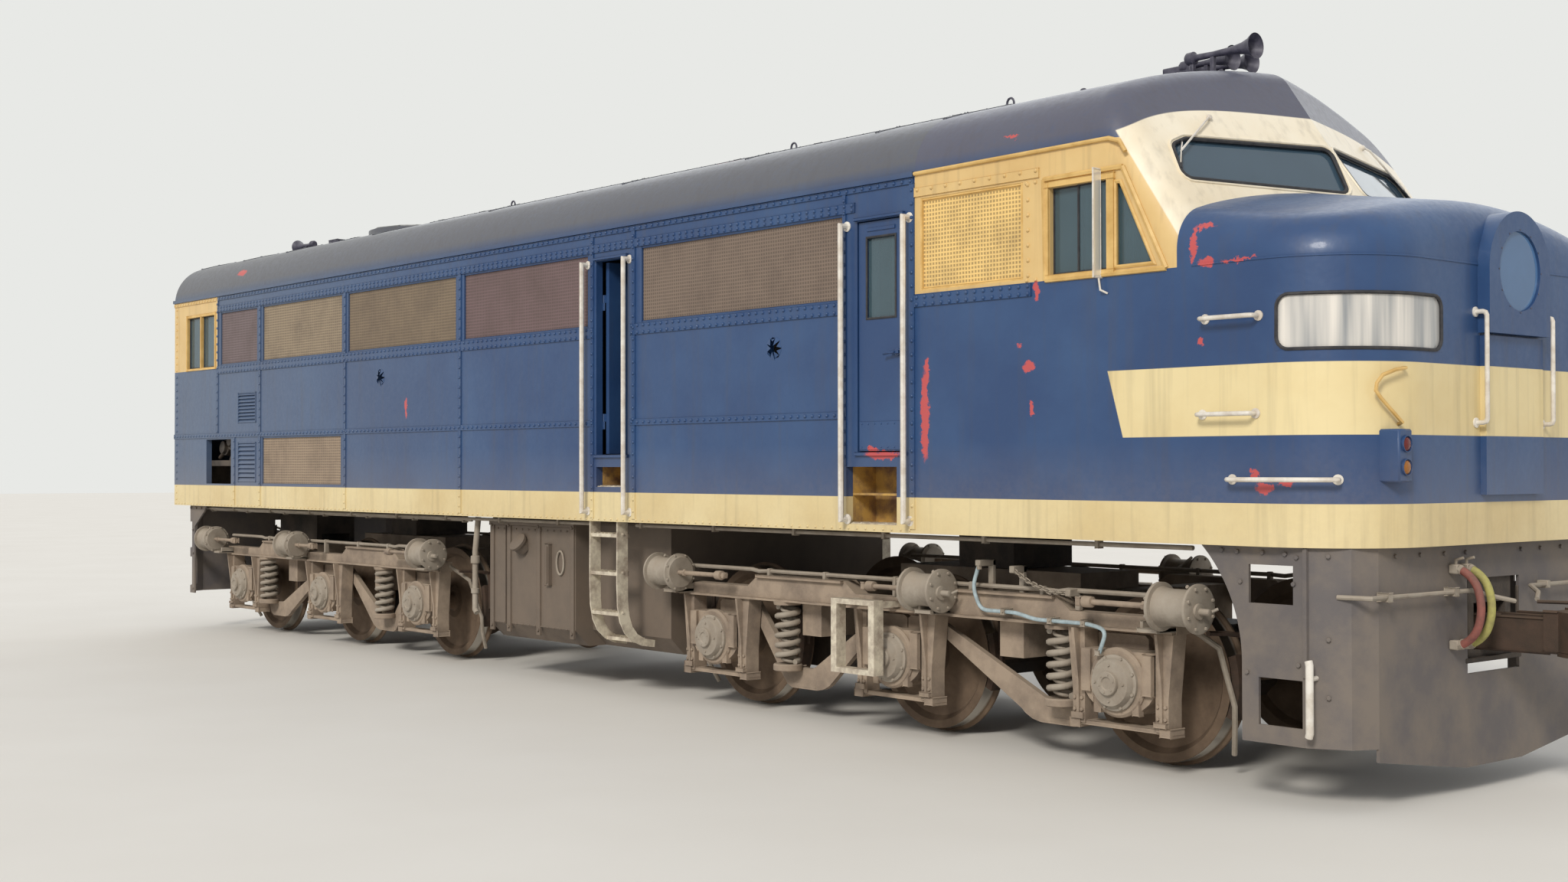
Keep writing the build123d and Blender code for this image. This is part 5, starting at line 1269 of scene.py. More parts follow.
class LOCOMOTIVE_OT_wheels(bpy.types.Operator):
    """Turn the wheelsets with their rims, dished discs and hubs"""

    bl_idname = "locomotive.wheels"
    bl_label = "Wheelsets"

    def execute(self, context):
        # Half of the section: distance from the middle of the axle, radius
        half = (
            # Axle, hub and the disc's inner face
            (0, 94.0), (560, 94.0), (585, 100.0), (640, 104.0), (655, 150.0), (690, 152.0), (716, 176.0),
            (742, 300.0), (736, 420.0), (690, 446.0), (681, 452.0),
            # Flange and tread
            (681, 530.0), (688, 535.6), (700, 533.0), (712, 516.0), (726, 510.0), (760, 508.0),
            (811, 505.5), (815, 501.0), (815, 452.0),
            # The disc's outer face, hub and journal
            (806, 444.0), (776, 420.0), (768, 300.0), (790, 190.0), (806, 158.0), (814, 150.0), (815, 92.0),
            (830, 72.0), (1176, 72.0), (1180, 68.0),
        )
        rows = [(-far, radius) for far, radius in reversed(half[1:])] + list(half)
        for end, place in BOGIES:
            for number, out in ((1, AXLE_STEP), (2, 0.0), (3, -AXLE_STEP)):
                node = f"wheelset_{end}_{number}"
                work = Piece()
                work.turned(rows, (place.translation.x + out * place[0][0], 0, AXLE_Z), (0, 1, 0), 64)
                work.done(
                    f"wheels_{end}_{number}", finish("wheel"), node, soft=30, stands_for=(node,),
                    slot="wheel_steel",
                )
        return {"FINISHED"}


# An axlebox: half its length, y of its inner and outer face, height
BOX_HALF, BOX_IN, BOX_OUT, BOX_H = 262.0, 1005.0, 1225.0, 370.0
# Its round cover: distance from the outer face, radius
BOX_COVER = (
    (-4, 165), (18, 165), (22, 160), (24, 148), (48, 140), (60, 132), (62, 80), (64, 72), (84, 70),
    (88, 66), (88, 40), (80, 34),
)


class LOCOMOTIVE_OT_axleboxes(bpy.types.Operator):
    """Fit the axleboxes with their bolted covers and wear plates"""

    bl_idname = "locomotive.axleboxes"
    bl_label = "Axleboxes"

    def execute(self, context):
        for end, place in BOGIES:
            boxes, covers = Piece(), Piece()
            for x in AXLES:
                for side in (-1, 1):
                    out = (0, side, 0)
                    top, low = AXLE_Z + BOX_H / 2, AXLE_Z - BOX_H / 2
                    half = (
                        (110, low), (150, low + 20), (BOX_HALF - 40, AXLE_Z - 110), (BOX_HALF, AXLE_Z - 60),
                        (BOX_HALF, top),
                    )
                    outline = [(x - off, z) for off, z in half[::-1]] + [(x + off, z) for off, z in half]
                    boxes.slab(outline, 1, side * BOX_IN, side * (BOX_OUT - 26))
                    boxes.turned(
                        ((0, 205), (30, 205), (44, 190)), (x, side * (BOX_OUT - 44), AXLE_Z), out, 40
                    )
                    for way in (-1, 1):
                        boxes.bar(
                            (x + way * 196, side * (BOX_OUT - 30), AXLE_Z - 60),
                            (x + way * BOX_HALF, side * BOX_OUT, top - 8), 6.0,
                        )
                        boxes.bar(
                            (x + way * 120, side * (BOX_OUT - 40), low + 4),
                            (x + way * 168, side * (BOX_OUT - 6), AXLE_Z - 96), 5.0,
                        )
                    face = side * BOX_OUT
                    covers.turned(BOX_COVER, (x, face, AXLE_Z), out, 40)
                    covers.bolts((x, face + side * 20, AXLE_Z), out, 153, 8, 11, 12)
                    covers.bolts((x, face + side * 62, AXLE_Z), out, 104, 4, 7, 7)
                    covers.bolts((x, face + side * 86, AXLE_Z), out, 53, 6, 5, 5)
            boxes.done(
                f"axlebox_castings_{end}", finish("cast"), f"bogie_{end}", place,
                stands_for=(f"bogie_axleboxes_{end}",), slot="bogie_casting",
            )
            covers.done(
                f"axlebox_covers_{end}", finish("cylinder"), f"bogie_{end}", place, slot="bogie_casting"
            )
        return {"FINISHED"}


class LOCOMOTIVE_OT_suspension(bpy.types.Operator):
    """Fit the drop equalisers and wind the coil springs"""

    bl_idname = "locomotive.suspension"
    bl_label = "Equalisers and springs"

    def execute(self, context):
        wire = context.scene.locomotive_sizes.spring_wire * 1000
        low, depth = 215.0, 150.0
        box_top = AXLE_Z + BOX_H / 2 + GAP
        cup = low + depth + 30
        for end, place in BOGIES:
            bars, coils = Piece(), Piece()
            for spring in (-1150.0, 1410.0):
                way = 1 if spring > 0 else -1
                seat = abs(spring)
                rows = (
                    # Lower edge, from the middle axlebox down to the spring and up to the outer one
                    (6, box_top), (277, box_top), (seat - 390, low + 70), (seat - 360, low + 44),
                    (seat - 300, low + 14), (seat - 230, low), (seat + 40, low), (seat + 90, low + 22),
                    (seat + 150, low + 90), (AXLE_STEP - 290, box_top), (AXLE_STEP + 110, box_top),
                    # Upper edge, back again
                    (AXLE_STEP + 110, box_top + 62), (AXLE_STEP + 84, box_top + 85),
                    (AXLE_STEP - 330, box_top + 85), (seat + 90, low + depth + 60),
                    (seat + 60, low + depth + 16), (seat + 20, low + depth), (seat - 180, low + depth),
                    (seat - 215, low + depth + 14), (BOX_HALF, box_top + 85), (36, box_top + 85),
                    (6, box_top + 66),
                )
                outline = [(way * x, z) for x, z in rows]
                for side in (-1, 1):
                    y = side * 1130
                    bars.slab(outline, 1, side * 1014, side * 1058)
                    shoe = ((-220, 14), (40, 14), (30, 40), (-210, 40))
                    bars.slab([(way * (seat + x), low + z) for x, z in shoe], 1, side * 1012, side * 1060)
                    bars.bar(
                        (spring - 60, side * 1016, cup - 50), (spring + 60, side * 1186, cup - 20), 6.0
                    )
                    bars.turned(
                        ((-50, 96), (-44, 105), (-8, 105), (0, 98), (-4, 60)), (spring, y, cup),
                        (0, 0, 1), 28,
                    )
                    high = FRAME_LOW - GAP
                    bars.turned(
                        ((-26, 60), (-24, 100), (-6, 104), (0, 104)), (spring, y, high), (0, 0, 1), 28
                    )
                    turns, per = 5.6, 14
                    start, rise = cup + wire * 0.7, (high - 24) - cup - wire * 1.4
                    for radius, bar, sense in ((84.0 - wire * 0.4, wire, 1), (42.0, wire * 0.6, -1)):
                        path = []
                        for step in range(int(turns * per) + 1):
                            share = step / (turns * per)
                            angle = sense * math.tau * turns * share
                            path.append(
                                (
                                    spring + radius * math.cos(angle), y + radius * math.sin(angle),
                                    start + rise * share,
                                )
                            )
                        coils.tube(path, bar, 7)
            bars.done(
                f"equalisers_{end}", finish("cast"), f"bogie_{end}", place,
                stands_for=(f"bogie_suspension_{end}",), slot="bogie_casting",
            )
            coils.done(
                f"coil_springs_{end}", finish("cylinder"), f"bogie_{end}", place, soft=60,
                slot="bogie_casting",
            )
        return {"FINISHED"}


# Brake cylinders of a bogie: x, way the rod points, how far it reaches
BRAKES = ((-2290.0, 1, 560.0), (450.0, -1, 420.0), (2440.0, -1, 560.0))


class LOCOMOTIVE_OT_brakes(bpy.types.Operator):
    """Fit the brake cylinders, their rods and slack adjusters, and the shoes on the wheels"""

    bl_idname = "locomotive.brakes"
    bl_label = "Brake gear"

    def execute(self, context):
        z = FRAME_TOP
        for end, place in BOGIES:
            cylinders, rods, shoes = Piece(), Piece(), Piece()
            for x, way, reach in BRAKES:
                for side in (-1, 1):
                    y, rod_y = side * 1332, side * 1352
                    tail, front = x - way * 150, x + way * 150
                    along = (way, 0, 0)
                    drum = (
                        (0, 60), (1, 128), (6, 140), (22, 140), (24, 116), (40, 106), (190, 104),
                        (238, 110), (258, 116), (262, 140), (282, 140), (284, 128), (299, 112), (300, 34),
                    )
                    cylinders.turned(drum, (tail, y, z), along, 40)
                    cylinders.bolts((tail + way * 282, y, z), along, 130, 8, 9, 10)
                    cylinders.bolts((tail + way * 2, y, z), (-way, 0, 0), 118, 8, 10, 10)
                    cylinders.turned(
                        ((0, 46), (14, 44), (16, 20), (78, 18), (80, 14)), (tail, rod_y, z - 12),
                        (-way, 0, 0), 16,
                    )
                    inward = side * (72 if way < 0 else 12)
                    lever = [
                        (tail - way * 40, rod_y, z - 12), (tail - way * 44, rod_y - inward / 2, z - 20),
                        (tail - way * 80, rod_y - inward, z + 4),
                    ]
                    cylinders.tube(lever, 9, 6)
                    seat_x = min(max(x, 75 - FRAME_END), FRAME_END - 75)
                    cylinders.bar(
                        (seat_x - 70, side * FRAME_SIDE, 858), (seat_x + 70, y + side * 30, 880), 4.0
                    )
                    for edge in (-70, 50):
                        cylinders.bar((seat_x + edge, side * 1192, 862), (seat_x + edge + 20, y, 918), 4.0)
                    tip = front + way * reach
                    rods.tube([(front - way * 4, rod_y, z), (tip, rod_y, z)], 17, 12)
                    rods.turned(
                        ((0, 20), (3, 32), (40, 34), (66, 34), (70, 22)),
                        (tip - way * 112, rod_y, z), along, 16,
                    )
                    rods.turned(
                        ((0, 20), (2, 27), (22, 27), (24, 20)), (front + way * 60, rod_y, z), along, 6
                    )
                    rods.bar((tip - way * 30, rod_y - 24, z - 22), (tip - way * 4, rod_y + 24, z + 22), 5.0)
            for x in AXLES:
                for way in (-1, 1):
                    for side in (-1, 1):
                        # Shoe against the tread at axle height, on its hanger from the frame
                        near, far = 509.0, 560.0
                        arc = [math.radians(a) for a in (-22, -14, -6, 2, 10, 18)]
                        inner = [(x + way * near * math.cos(a), AXLE_Z + near * math.sin(a)) for a in arc]
                        outer = [
                            (x + way * far * math.cos(a), AXLE_Z + far * math.sin(a))
                            for a in reversed(arc)
                        ]
                        shoes.slab(inner + outer, 1, side * 722, side * 806)
                        hanger = (
                            (566, 764, AXLE_Z - 40), (566, 764, 820), (552, 900, 840), (540, 1070, 850)
                        )
                        shoes.tube([(x + way * off, side * y, z) for off, y, z in hanger], 16, 6)
            body = f"bogie_{end}"
            cylinders.done(
                f"brake_cylinders_{end}", finish("cylinder"), body, place,
                stands_for=(f"bogie_brake_gear_{end}",), slot="bogie_paint",
            )
            rods.done(f"brake_rods_{end}", finish("cast"), body, place, slot="bogie_paint")
            shoes.done(f"brake_shoes_{end}", finish("coupler"), body, place)
        return {"FINISHED"}


class LOCOMOTIVE_OT_bogie_frames(bpy.types.Operator):
    """Fit the bogie frames' flanges, wear plates, bolts, pipes and sand pipes"""

    bl_idname = "locomotive.bogie_frames"
    bl_label = "Bogie frame fittings"

    def execute(self, context):
        for end, place in BOGIES:
            edges, pipes = Piece(), Piece()
            for side in (-1, 1):
                out = side * FRAME_SIDE
                # Flange along the chord's lower and upper edges
                edges.bar((-2310, out, FRAME_LOW), (2310, out + side * 26, FRAME_LOW + 18), 4.0)
                for x0, x1 in ((-1410.0, -495.0), (495.0, 1410.0)):
                    edges.bar((x0, out, 998), (x1, out + side * 26, 1016), 4.0)
                for axle in AXLES:
                    for way in (-1, 1):
                        near = axle + way * (BOX_HALF + GAP)
                        rib = [
                            (out, FRAME_LOW), (out + side * 58, FRAME_LOW), (out + side * 52, 790),
                            (out + side * 16, 520), (out + side * 12, 300), (out, 300),
                        ]
                        edges.slab(rib, 0, near + way * 36, near + way * 56)
                        edges.bar(
                            (near + way * 3, out - side * 6, 302),
                            (near + way * 89, out + side * 22, 330), 4.0,
                        )
                        for z in (350.0, 420.0):
                            for shift in (20.0, 74.0):
                                edges.bolt((near + way * shift, out, z), (0, side, 0), 12, 11)
                    # Tie bar under the axlebox
                    edges.bar((axle - 372, side * 1080, 262), (axle + 372, side * 1180, 290), 5.0)
                    for way in (-1, 1):
                        edges.bar(
                            (axle + way * 298, side * 1074, 248), (axle + way * 374, side * 1197, 296), 5.0
                        )
                # Brake pipe along the frame, held by saddles, with drops to the cylinders
                y = side * 1168
                rise = ((1300, 1046), (1420, 1040), (1500, 1052), (2240, 1052))
                run = [(-x, y, z) for x, z in reversed(rise)] + [(x, y, z) for x, z in rise]
                pipes.tube(run, 15, 8)
                for x in (-1300, -700, 0, 700, 1300):
                    pipes.bar((x - 14, y - 22, 1000 if abs(x) > 500 else 930), (x + 14, y + 22, 1066), 4.0)
                for x, way, _ in BRAKES:
                    drop = ((y, 1052), (side * 1250, 1090), (side * 1332, 1128))
                    pipes.tube([(x - way * 60, across, z) for across, z in drop], 11, 8)
                # Sand pipes that end before the outer wheels' treads
                for way in (-1, 1):
                    bend = (
                        (2300, 1100, 900), (2440, 960, 760), (2462, 845, 420), (2455, 835, 290),
                        (2400, 765, 130),
                    )
                    pipes.tube([(way * x, side * across, z) for x, across, z in bend], 17, 8)
            edges.done(f"frame_flanges_{end}", finish("cast"), f"bogie_{end}", place, slot="bogie_paint")
            pipes.done(f"bogie_pipes_{end}", finish("cylinder"), f"bogie_{end}", place, slot="bogie_paint")
        return {"FINISHED"}


# Side plate of a hanging ladder, y and z: its outer edge down and its inner edge up again
LADDER_PLATE = (
    (1450, 1373), (1452, 900), (1446, 720), (1424, 600), (1378, 508), (1304, 442), (1210, 402),
    (1096, 386), (1090, 440), (1188, 458), (1258, 496), (1308, 560), (1338, 650), (1350, 760),
    (1352, 1373),
)


class LOCOMOTIVE_OT_underside(bpy.types.Operator):
    """Fit the tank's straps and gauge, the pipes under the sill and the hanging ladders"""

    bl_idname = "locomotive.underside"
    bl_label = "Tank, ladders and pipes"

    def execute(self, context):
        tank, pipes, ladder = Piece(), Piece(), Piece()
        for _, side in SIDES:
            face = side * TANK_HALF
            for x in (-1030.0, -760.0, -300.0, 200.0):
                tank.bar((x - 28, face - side * 3, 400), (x + 28, face + side * 9, 1340), 3.0)
                for z in (440.0, 1300.0):
                    tank.bolt((x, face + side * 9, z), (0, side, 0), 14, 12)
            tank.bar((-1066, face - side * 2, 1300), (236, face + side * 16, 1330), 3.0)
            for z in (1270, 470):
                tank.rivets((-1040, face + side, z), (210, face + side, z), (0, side, 0), 95, 9)
            # Filler with its cap, sight gauge and the loop of pipe beside it
            tank.turned(
                ((-10, 74), (60, 74), (62, 84), (84, 84), (92, 70)), (-540, face, 1120),
                (0, side * 0.8, 0.6), 28,
            )
            tank.bar((-170, face, 820), (-110, face + side * 30, 1160), 5.0)
            tank.tube([(-140, face + side * 34, 840), (-140, face + side * 34, 1140)], 9, 8)
            loop = [
                (30 + 52 * math.cos(a), face + side * 12, 1010 + 96 * math.sin(a))
                for a in [math.tau * i / 18 for i in range(18)]
            ]
            pipes.tube(loop, 9, 6, looped=True)
            # Water filler pipe behind the tank and pipes along the sill
            drop = ((-1260, 1300, 1360), (-1260, 1330, 1060), (-1260, 1330, 560), (-1230, 1330, 530))
            pipes.tube([(x, side * y, z) for x, y, z in drop], 26, 12)
            pipes.turned(((0, 40), (60, 40), (66, 30)), (-1260, side * 1330, 960), (0, 0, 1), 18)
            pipes.turned(((0, 36), (40, 36), (44, 28)), (-1260, side * 1330, 700), (0, 0, 1), 18)
            for y, z, x0, x1 in (
                (1340.0, 1345.0, -7200.0, 600.0), (1340.0, 1345.0, 1150.0, 6400.0),
                (1280.0, 1330.0, -7000.0, -1400.0),
            ):
                pipes.tube([(x0, side * y, z), (x1, side * y, z)], 14, 8)
                for number in range(int((x1 - x0) / 900) + 1):
                    x = x0 + 80 + 900 * number
                    if x < x1 - 40:
                        pipes.bar((x - 12, side * (y - 22), z - 22), (x + 12, side * (y + 22), 1374), 3.0)
            # Ladder: two flat side plates that turn in under the body at the foot, and treads between
            for x in (670.0, 1038.0):
                ladder.slab([(side * y, z) for y, z in LADDER_PLATE], 0, x, x + 12)
                for z in (1262.0, 966.0, 656.0):
                    ladder.bolt((x + 12, side * 1400, z + 14), (1, 0, 0), 10, 8)
            for y, z in ((1440, 1250), (1440, 954), (1434, 644), (1290, 434)):
                ladder.bar((680, side * (y - 104), z), (1040, side * y, z + 28), 3.0)
                for number in range(7):
                    x = 705 + number * 51
                    ladder.bar((x - 5, side * (y - 98), z + 26), (x + 5, side * (y - 6), z + 33), 1.0)
        tank.done("tank_straps", finish("tank"), slot="tank_paint")
        pipes.done("sill_pipes", finish("cylinder"))
        ladder.done("hanging_ladders", finish("step"), stands_for=("side_ladders",), slot="yellow_paint")
        return {"FINISHED"}


# x and z of the bolts on the pilots' cheeks, front and rear
PILOT_BOLTS = (
    (6640, 1345), (6740, 1340), (6900, 1340), (7040, 1335), (7110, 1320), (7090, 1180), (6760, 1180),
    (7120, 760), (6800, 700), (-7240, 1345), (-7100, 1345), (-6960, 1345), (-7185, 1100), (-7185, 840),
    (-7185, 450),
)
UNCOUPLING_RODS = (
    ((7300, 1330, 1120), (7480, 1300, 1120), (7480, 320, 1120), (7560, 250, 1090), (7620, 120, 1060)),
    ((-7590, 1180, 1120), (-7590, 320, 1120), (-7650, 120, 1060)),
)


class LOCOMOTIVE_OT_pilots(bpy.types.Operator):
    """Fit the pilots' bolts and edges, the white lever and the uncoupling rods"""

    bl_idname = "locomotive.pilots"
    bl_label = "Pilots"

    def execute(self, context):
        bolts, lever, rods = Piece(), Piece(), Piece()
        for _, side in SIDES:
            out = (0, side, 0)
            for x, z in PILOT_BOLTS:
                bolts.bolt((x, side * PILOT_HALF, z), out, 13, 11)
            facing = Vector((0.48, side * 0.877, 0))
            for z in (1330.0, 900.0, 600.0):
                bolts.bolt(Vector((7260, side * 1350, z)) + facing * 4, facing, 13, 11)
            for y in (300, 520, 760, 1000):
                bolts.bolt((PILOT_FRONT, side * y, 1325), (1, 0, 0), 13, 11)
                bolts.bolt((PILOT_REAR, side * y, 1325), (-1, 0, 0), 13, 11)
            # Stiffening angle on the plough's lower half
            bolts.bar((7152, side * 1404, 700), (7176, side * 1418, 1368), 2.0)
            grip = ((7205, 1448, 792), (7212, 1450, 770), (7214, 1452, 420), (7206, 1450, 398))
            lever.tube([(x, side * y, z) for x, y, z in grip], 21, 10)
            lever.tube([(7208, side * 1380, 700), (7212, side * 1446, 700)], 13, 8)
            for rod in UNCOUPLING_RODS:
                rods.tube([(x, side * y, z) for x, y, z in rod], 13, 8)
            for face in (PILOT_FRONT, PILOT_REAR):
                for y in (1150, 500):
                    tip = face + math.copysign(66, face)
                    rods.bar((face, side * (y - 18), 1098), (tip, side * (y + 18), 1142), 4.0)
        bolts.done("pilot_bolts", finish("plate"))
        lever.done("pilot_levers", finish("rail"))
        rods.done("uncoupling_rods", finish("cylinder"))
        return {"FINISHED"}


# A coupler seen from above: distance back from its pulling face, distance across
COUPLER_HEAD = (
    (300, -110), (250, -150), (180, -190), (110, -204), (60, -206), (10, -198), (0, -180), (0, -124),
    (30, -112), (90, -70), (112, -30), (112, 30), (96, 74), (60, 96), (40, 100), (60, 150), (130, 196),
    (200, 196), (300, 110),
)
COUPLER_KNUCKLE = (
    (40, 92), (8, 104), (0, 118), (0, 186), (12, 202), (60, 214), (118, 210), (150, 196), (128, 150),
    (90, 110),
)


class LOCOMOTIVE_OT_couplers(bpy.types.Operator):
    """Cast the coupler heads with their knuckles, pins and locks"""

    bl_idname = "locomotive.couplers"
    bl_label = "Couplers"

    def execute(self, context):
        work = Piece()
        for way in (-1, 1):
            face = way * COUPLER_FACE
            head, knuckle = (
                [(face - way * back, way * across) for back, across in rows]
                for rows in (COUPLER_HEAD, COUPLER_KNUCKLE)
            )
            work.slab(head, 2, 800, 1016)
            work.slab(head, 2, 776, 798)
            work.slab(knuckle, 2, 790, 1028)
            pin = Vector((face - way * 112, way * 168, 0))
            work.turned(((760, 24), (1040, 24), (1046, 34), (1062, 34), (1066, 24)), pin, (0, 0, 1), 20)
            work.bar((face - way * 300, -120, 800), (face - way * 360, 120, 1010), 12.0)
            work.bar((face - way * 240, -60, 1014), (face - way * 170, 20, 1040), 8.0)
            work.tube(
                [
                    (face - way * 205, -20, 1036), (face - way * 260, -40, 1062),
                    (face - way * 420, -90, 1062),
                ],
                10, 8,
            )
            # Shank with its ribs and the carrier plate below
            work.bar((face - way * 350, -104, 790), (face - way * 1099, 104, 970), 10.0)
            for y in (-84, 84):
                work.bar((face - way * 352, y - 12, 968), (face - way * 620, y + 12, 990), 4.0)
        work.done("coupler_heads", finish("coupler"), stands_for=("couplers",), slot="coupler_steel")
        plates = Piece()
        for x, way in ((7412.0, 1), (-7500.0, -1)):
            for y in (-300, 270):
                plates.bar((x, y, 740), (x + way * 16, y + 30, 1120), 4.0)
            plates.bar((x, -300, 716), (x + way * 22, 300, 744), 4.0)
        plates.done("coupler_striker_plates", finish("under"))
        return {"FINISHED"}


# x and z of the clipped hose and of the chain, along the front bogie's right side
HOSE_ROUTE = (
    (4690, 1190), (4632, 1040), (4700, 900), (5000, 900), (5150, 868), (5570, 868), (5710, 840),
    (5650, 690),
)
CHAIN_ROUTE = ((4960, 1160), (5090, 1090), (5250, 1040), (5410, 1040))


def eased(route, reach, steps=6):
    """Route with each inner corner eased by a curve that starts and ends the reach away from it."""
    path = [route[0]]
    for before, corner, after in zip(route, route[1:], route[2:]):
        one = corner + (before - corner).normalized() * min(reach, (before - corner).length * 0.45)
        two = corner + (after - corner).normalized() * min(reach, (after - corner).length * 0.45)
        for step in range(steps + 1):
            t = step / steps
            path.append(one * (1 - t) ** 2 + corner * (2 * t * (1 - t)) + two * t**2)
    return [*path, route[-1]]


def hang_air_hose(name, rubber, face, way, side_y):
    """Hangs a free length of air hose between its cock and its hook on a pilot's face."""
    curve = bpy.data.curves.new(name, "CURVE")
    curve.dimensions = "3D"
    spline = curve.splines.new("NURBS")
    places = ((55, 1240), (105, 1216), (158, 1150), (180, 1035), (158, 920), (105, 854), (55, 830))
    spline.points.add(len(places) - 1)
    for point, (out, z) in zip(spline.points, places):
        point.co = ((face + way * out) / 1000, side_y / 1000, z / 1000, 1)
    spline.order_u = 3
    spline.use_endpoint_u = True
    curve.bevel_depth = 0.022
    curve.bevel_resolution = 3
    curve.materials.append(rubber)
    thing = bpy.data.objects.new(name, curve)
    bpy.context.scene.collection.objects.link(thing)
    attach(thing, "body")
    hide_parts("brake_hoses")


class LOCOMOTIVE_OT_hoses(bpy.types.Operator):
    """Lay the clipped hose and the safety chain on the front bogie and hang the air hoses"""

    bl_idname = "locomotive.hoses"
    bl_label = "Hoses and chain"

    def execute(self, context):
        hose, clips, chain = Piece(), Piece(), Piece()
        y = -1250.0
        hose.tube(eased([Vector((x, y, z)) for x, z in HOSE_ROUTE], 60.0), 12.5, 12)
        for x, z in ((4900, 900), (5280, 868), (5540, 868)):
            clips.bar((x - 16, -FRAME_SIDE - GAP, z - 18), (x + 16, y - 15, z + 18), 4.0)
            clips.bolt((x, y - 15, z), (0, -1, 0), 7, 6)
        clips.bar((5634, -BOX_OUT - GAP, 688), (5666, y - 15, 718), 4.0)
        clips.bar((4668, -1268, 1172), (4712, -1120, 1212), 5.0)
        clips.bar((4668, -1150, 1016.3), (4712, -1120, 1212), 5.0)
        clips.turned(((-26, 17), (30, 17), (34, 12)), (4690, y, 1178), (0, 0, 1), 8)
        for (x, z), low in ((CHAIN_ROUTE[0], 1016.3), (CHAIN_ROUTE[-1], 930.3)):
            clips.bar((x - 20, -1250, z - 20), (x + 20, -1130, z + 24), 4.0)
            clips.bar((x - 20, -1160, low), (x + 20, -1130, z + 24), 4.0)
        # Chain of welded links, each turned a quarter from the last
        line = [Vector((x, -1232.0, z)) for x, z in CHAIN_ROUTE]
        lengths = [(b - a).length for a, b in zip(line, line[1:])]
        total, link = sum(lengths), 46.0
        count = int(total / (link * 0.62))
        for number in range(count):
            far = total * (number + 0.5) / count
            for (a, b), run in zip(zip(line, line[1:]), lengths):
                if far <= run:
                    break
                far -= run
            along = (b - a).normalized()
            middle = a + along * far
            across = Vector((0, 1, 0)) if number % 2 else along.cross(Vector((0, 1, 0)))
            ring = []
            for step in range(14):
                turn = math.tau * step / 14
                flat = 11.0 if math.cos(turn) > 0 else -11.0
                ring.append(
                    middle + along * (flat + 11.5 * math.cos(turn)) + across * (11.5 * math.sin(turn))
                )
            chain.tube(ring, 4.6, 5, looped=True)
        hose.done(
            "bogie_hose", finish("braid"), "bogie_front", stands_for=("bogie_hoses",), slot="hose_rubber"
        )
        clips.done("hose_clips", finish("cylinder"), "bogie_front")
        chain.done("safety_chain", finish("cylinder"), "bogie_front")
        # Air hoses: each a free length between its cock and its hook
        cocks = Piece()
        tones = (("yellow", "#a9a45c", "#8b8550"), ("red", "#8d5148", "#6f413b"))
        for way, face in ((1, PILOT_FRONT + GAP), (-1, PILOT_REAR - GAP)):
            for across, (name, tone, worn) in zip((340.0, 450.0), tones):
                side_y = -way * across
                root = face + way * 55
                end = "front" if way > 0 else "rear"
                for z in (1240.0, 830.0):
                    cocks.bar((face, side_y - 26, z - 26), (root - way * 2, side_y + 26, z + 26), 6.0)
                    cocks.turned(
                        ((0, 27), (16, 27), (18, 24)), (root - way * 4, side_y, z),
                        (way, 0, 0.4 if z < 1000 else -0.4), 8,
                    )
                handle = ((-24, 1266), (-24, 1290), (20, 1302))
                cocks.tube([(root + way * out, side_y, z) for out, z in handle], 8, 8)
                rubber = surface(f"painted_hose_{name}", tone, worn, 0.0, 0.75, 3, 60, 0.3, 0.2)
                hang_air_hose(f"air_hose_{end}_{name}", rubber, face, way, side_y)
        cocks.done("air_hose_cocks", finish("cylinder"))
        return {"FINISHED"}


def hang_curtain(side, name, body, x0, x1, z0, z1, inset, taper):
    """Hangs a folded cloth behind a pane, with its top drawn in by the taper."""
    columns, bands = 24, 8
    points = []
    for z in [z0 + (z1 - z0) * band / bands for band in range(bands + 1)]:
        lean = 1 - taper * (z - z0) / (z1 - z0)
        for i in range(columns + 1):
            y = side * (WALL - inset - 7 * math.sin(i * 1.7 + z / 400))
            points.append(Vector((x0 + (x1 - x0) * lean * i / columns, y, z)) / 1000)
    wide = columns + 1
    starts = [band * wide + i for band in range(bands) for i in range(columns)]
    mesh = bpy.data.meshes.new(name)
    mesh.from_pydata(points, [], [(i, i + 1, i + 1 + wide, i + wide) for i in starts])
    mesh.shade_smooth()
    mesh.materials.append(finish("curtain"))
    thing = bpy.data.objects.new(name, mesh)
    bpy.context.scene.collection.objects.link(thing)
    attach(thing, body)


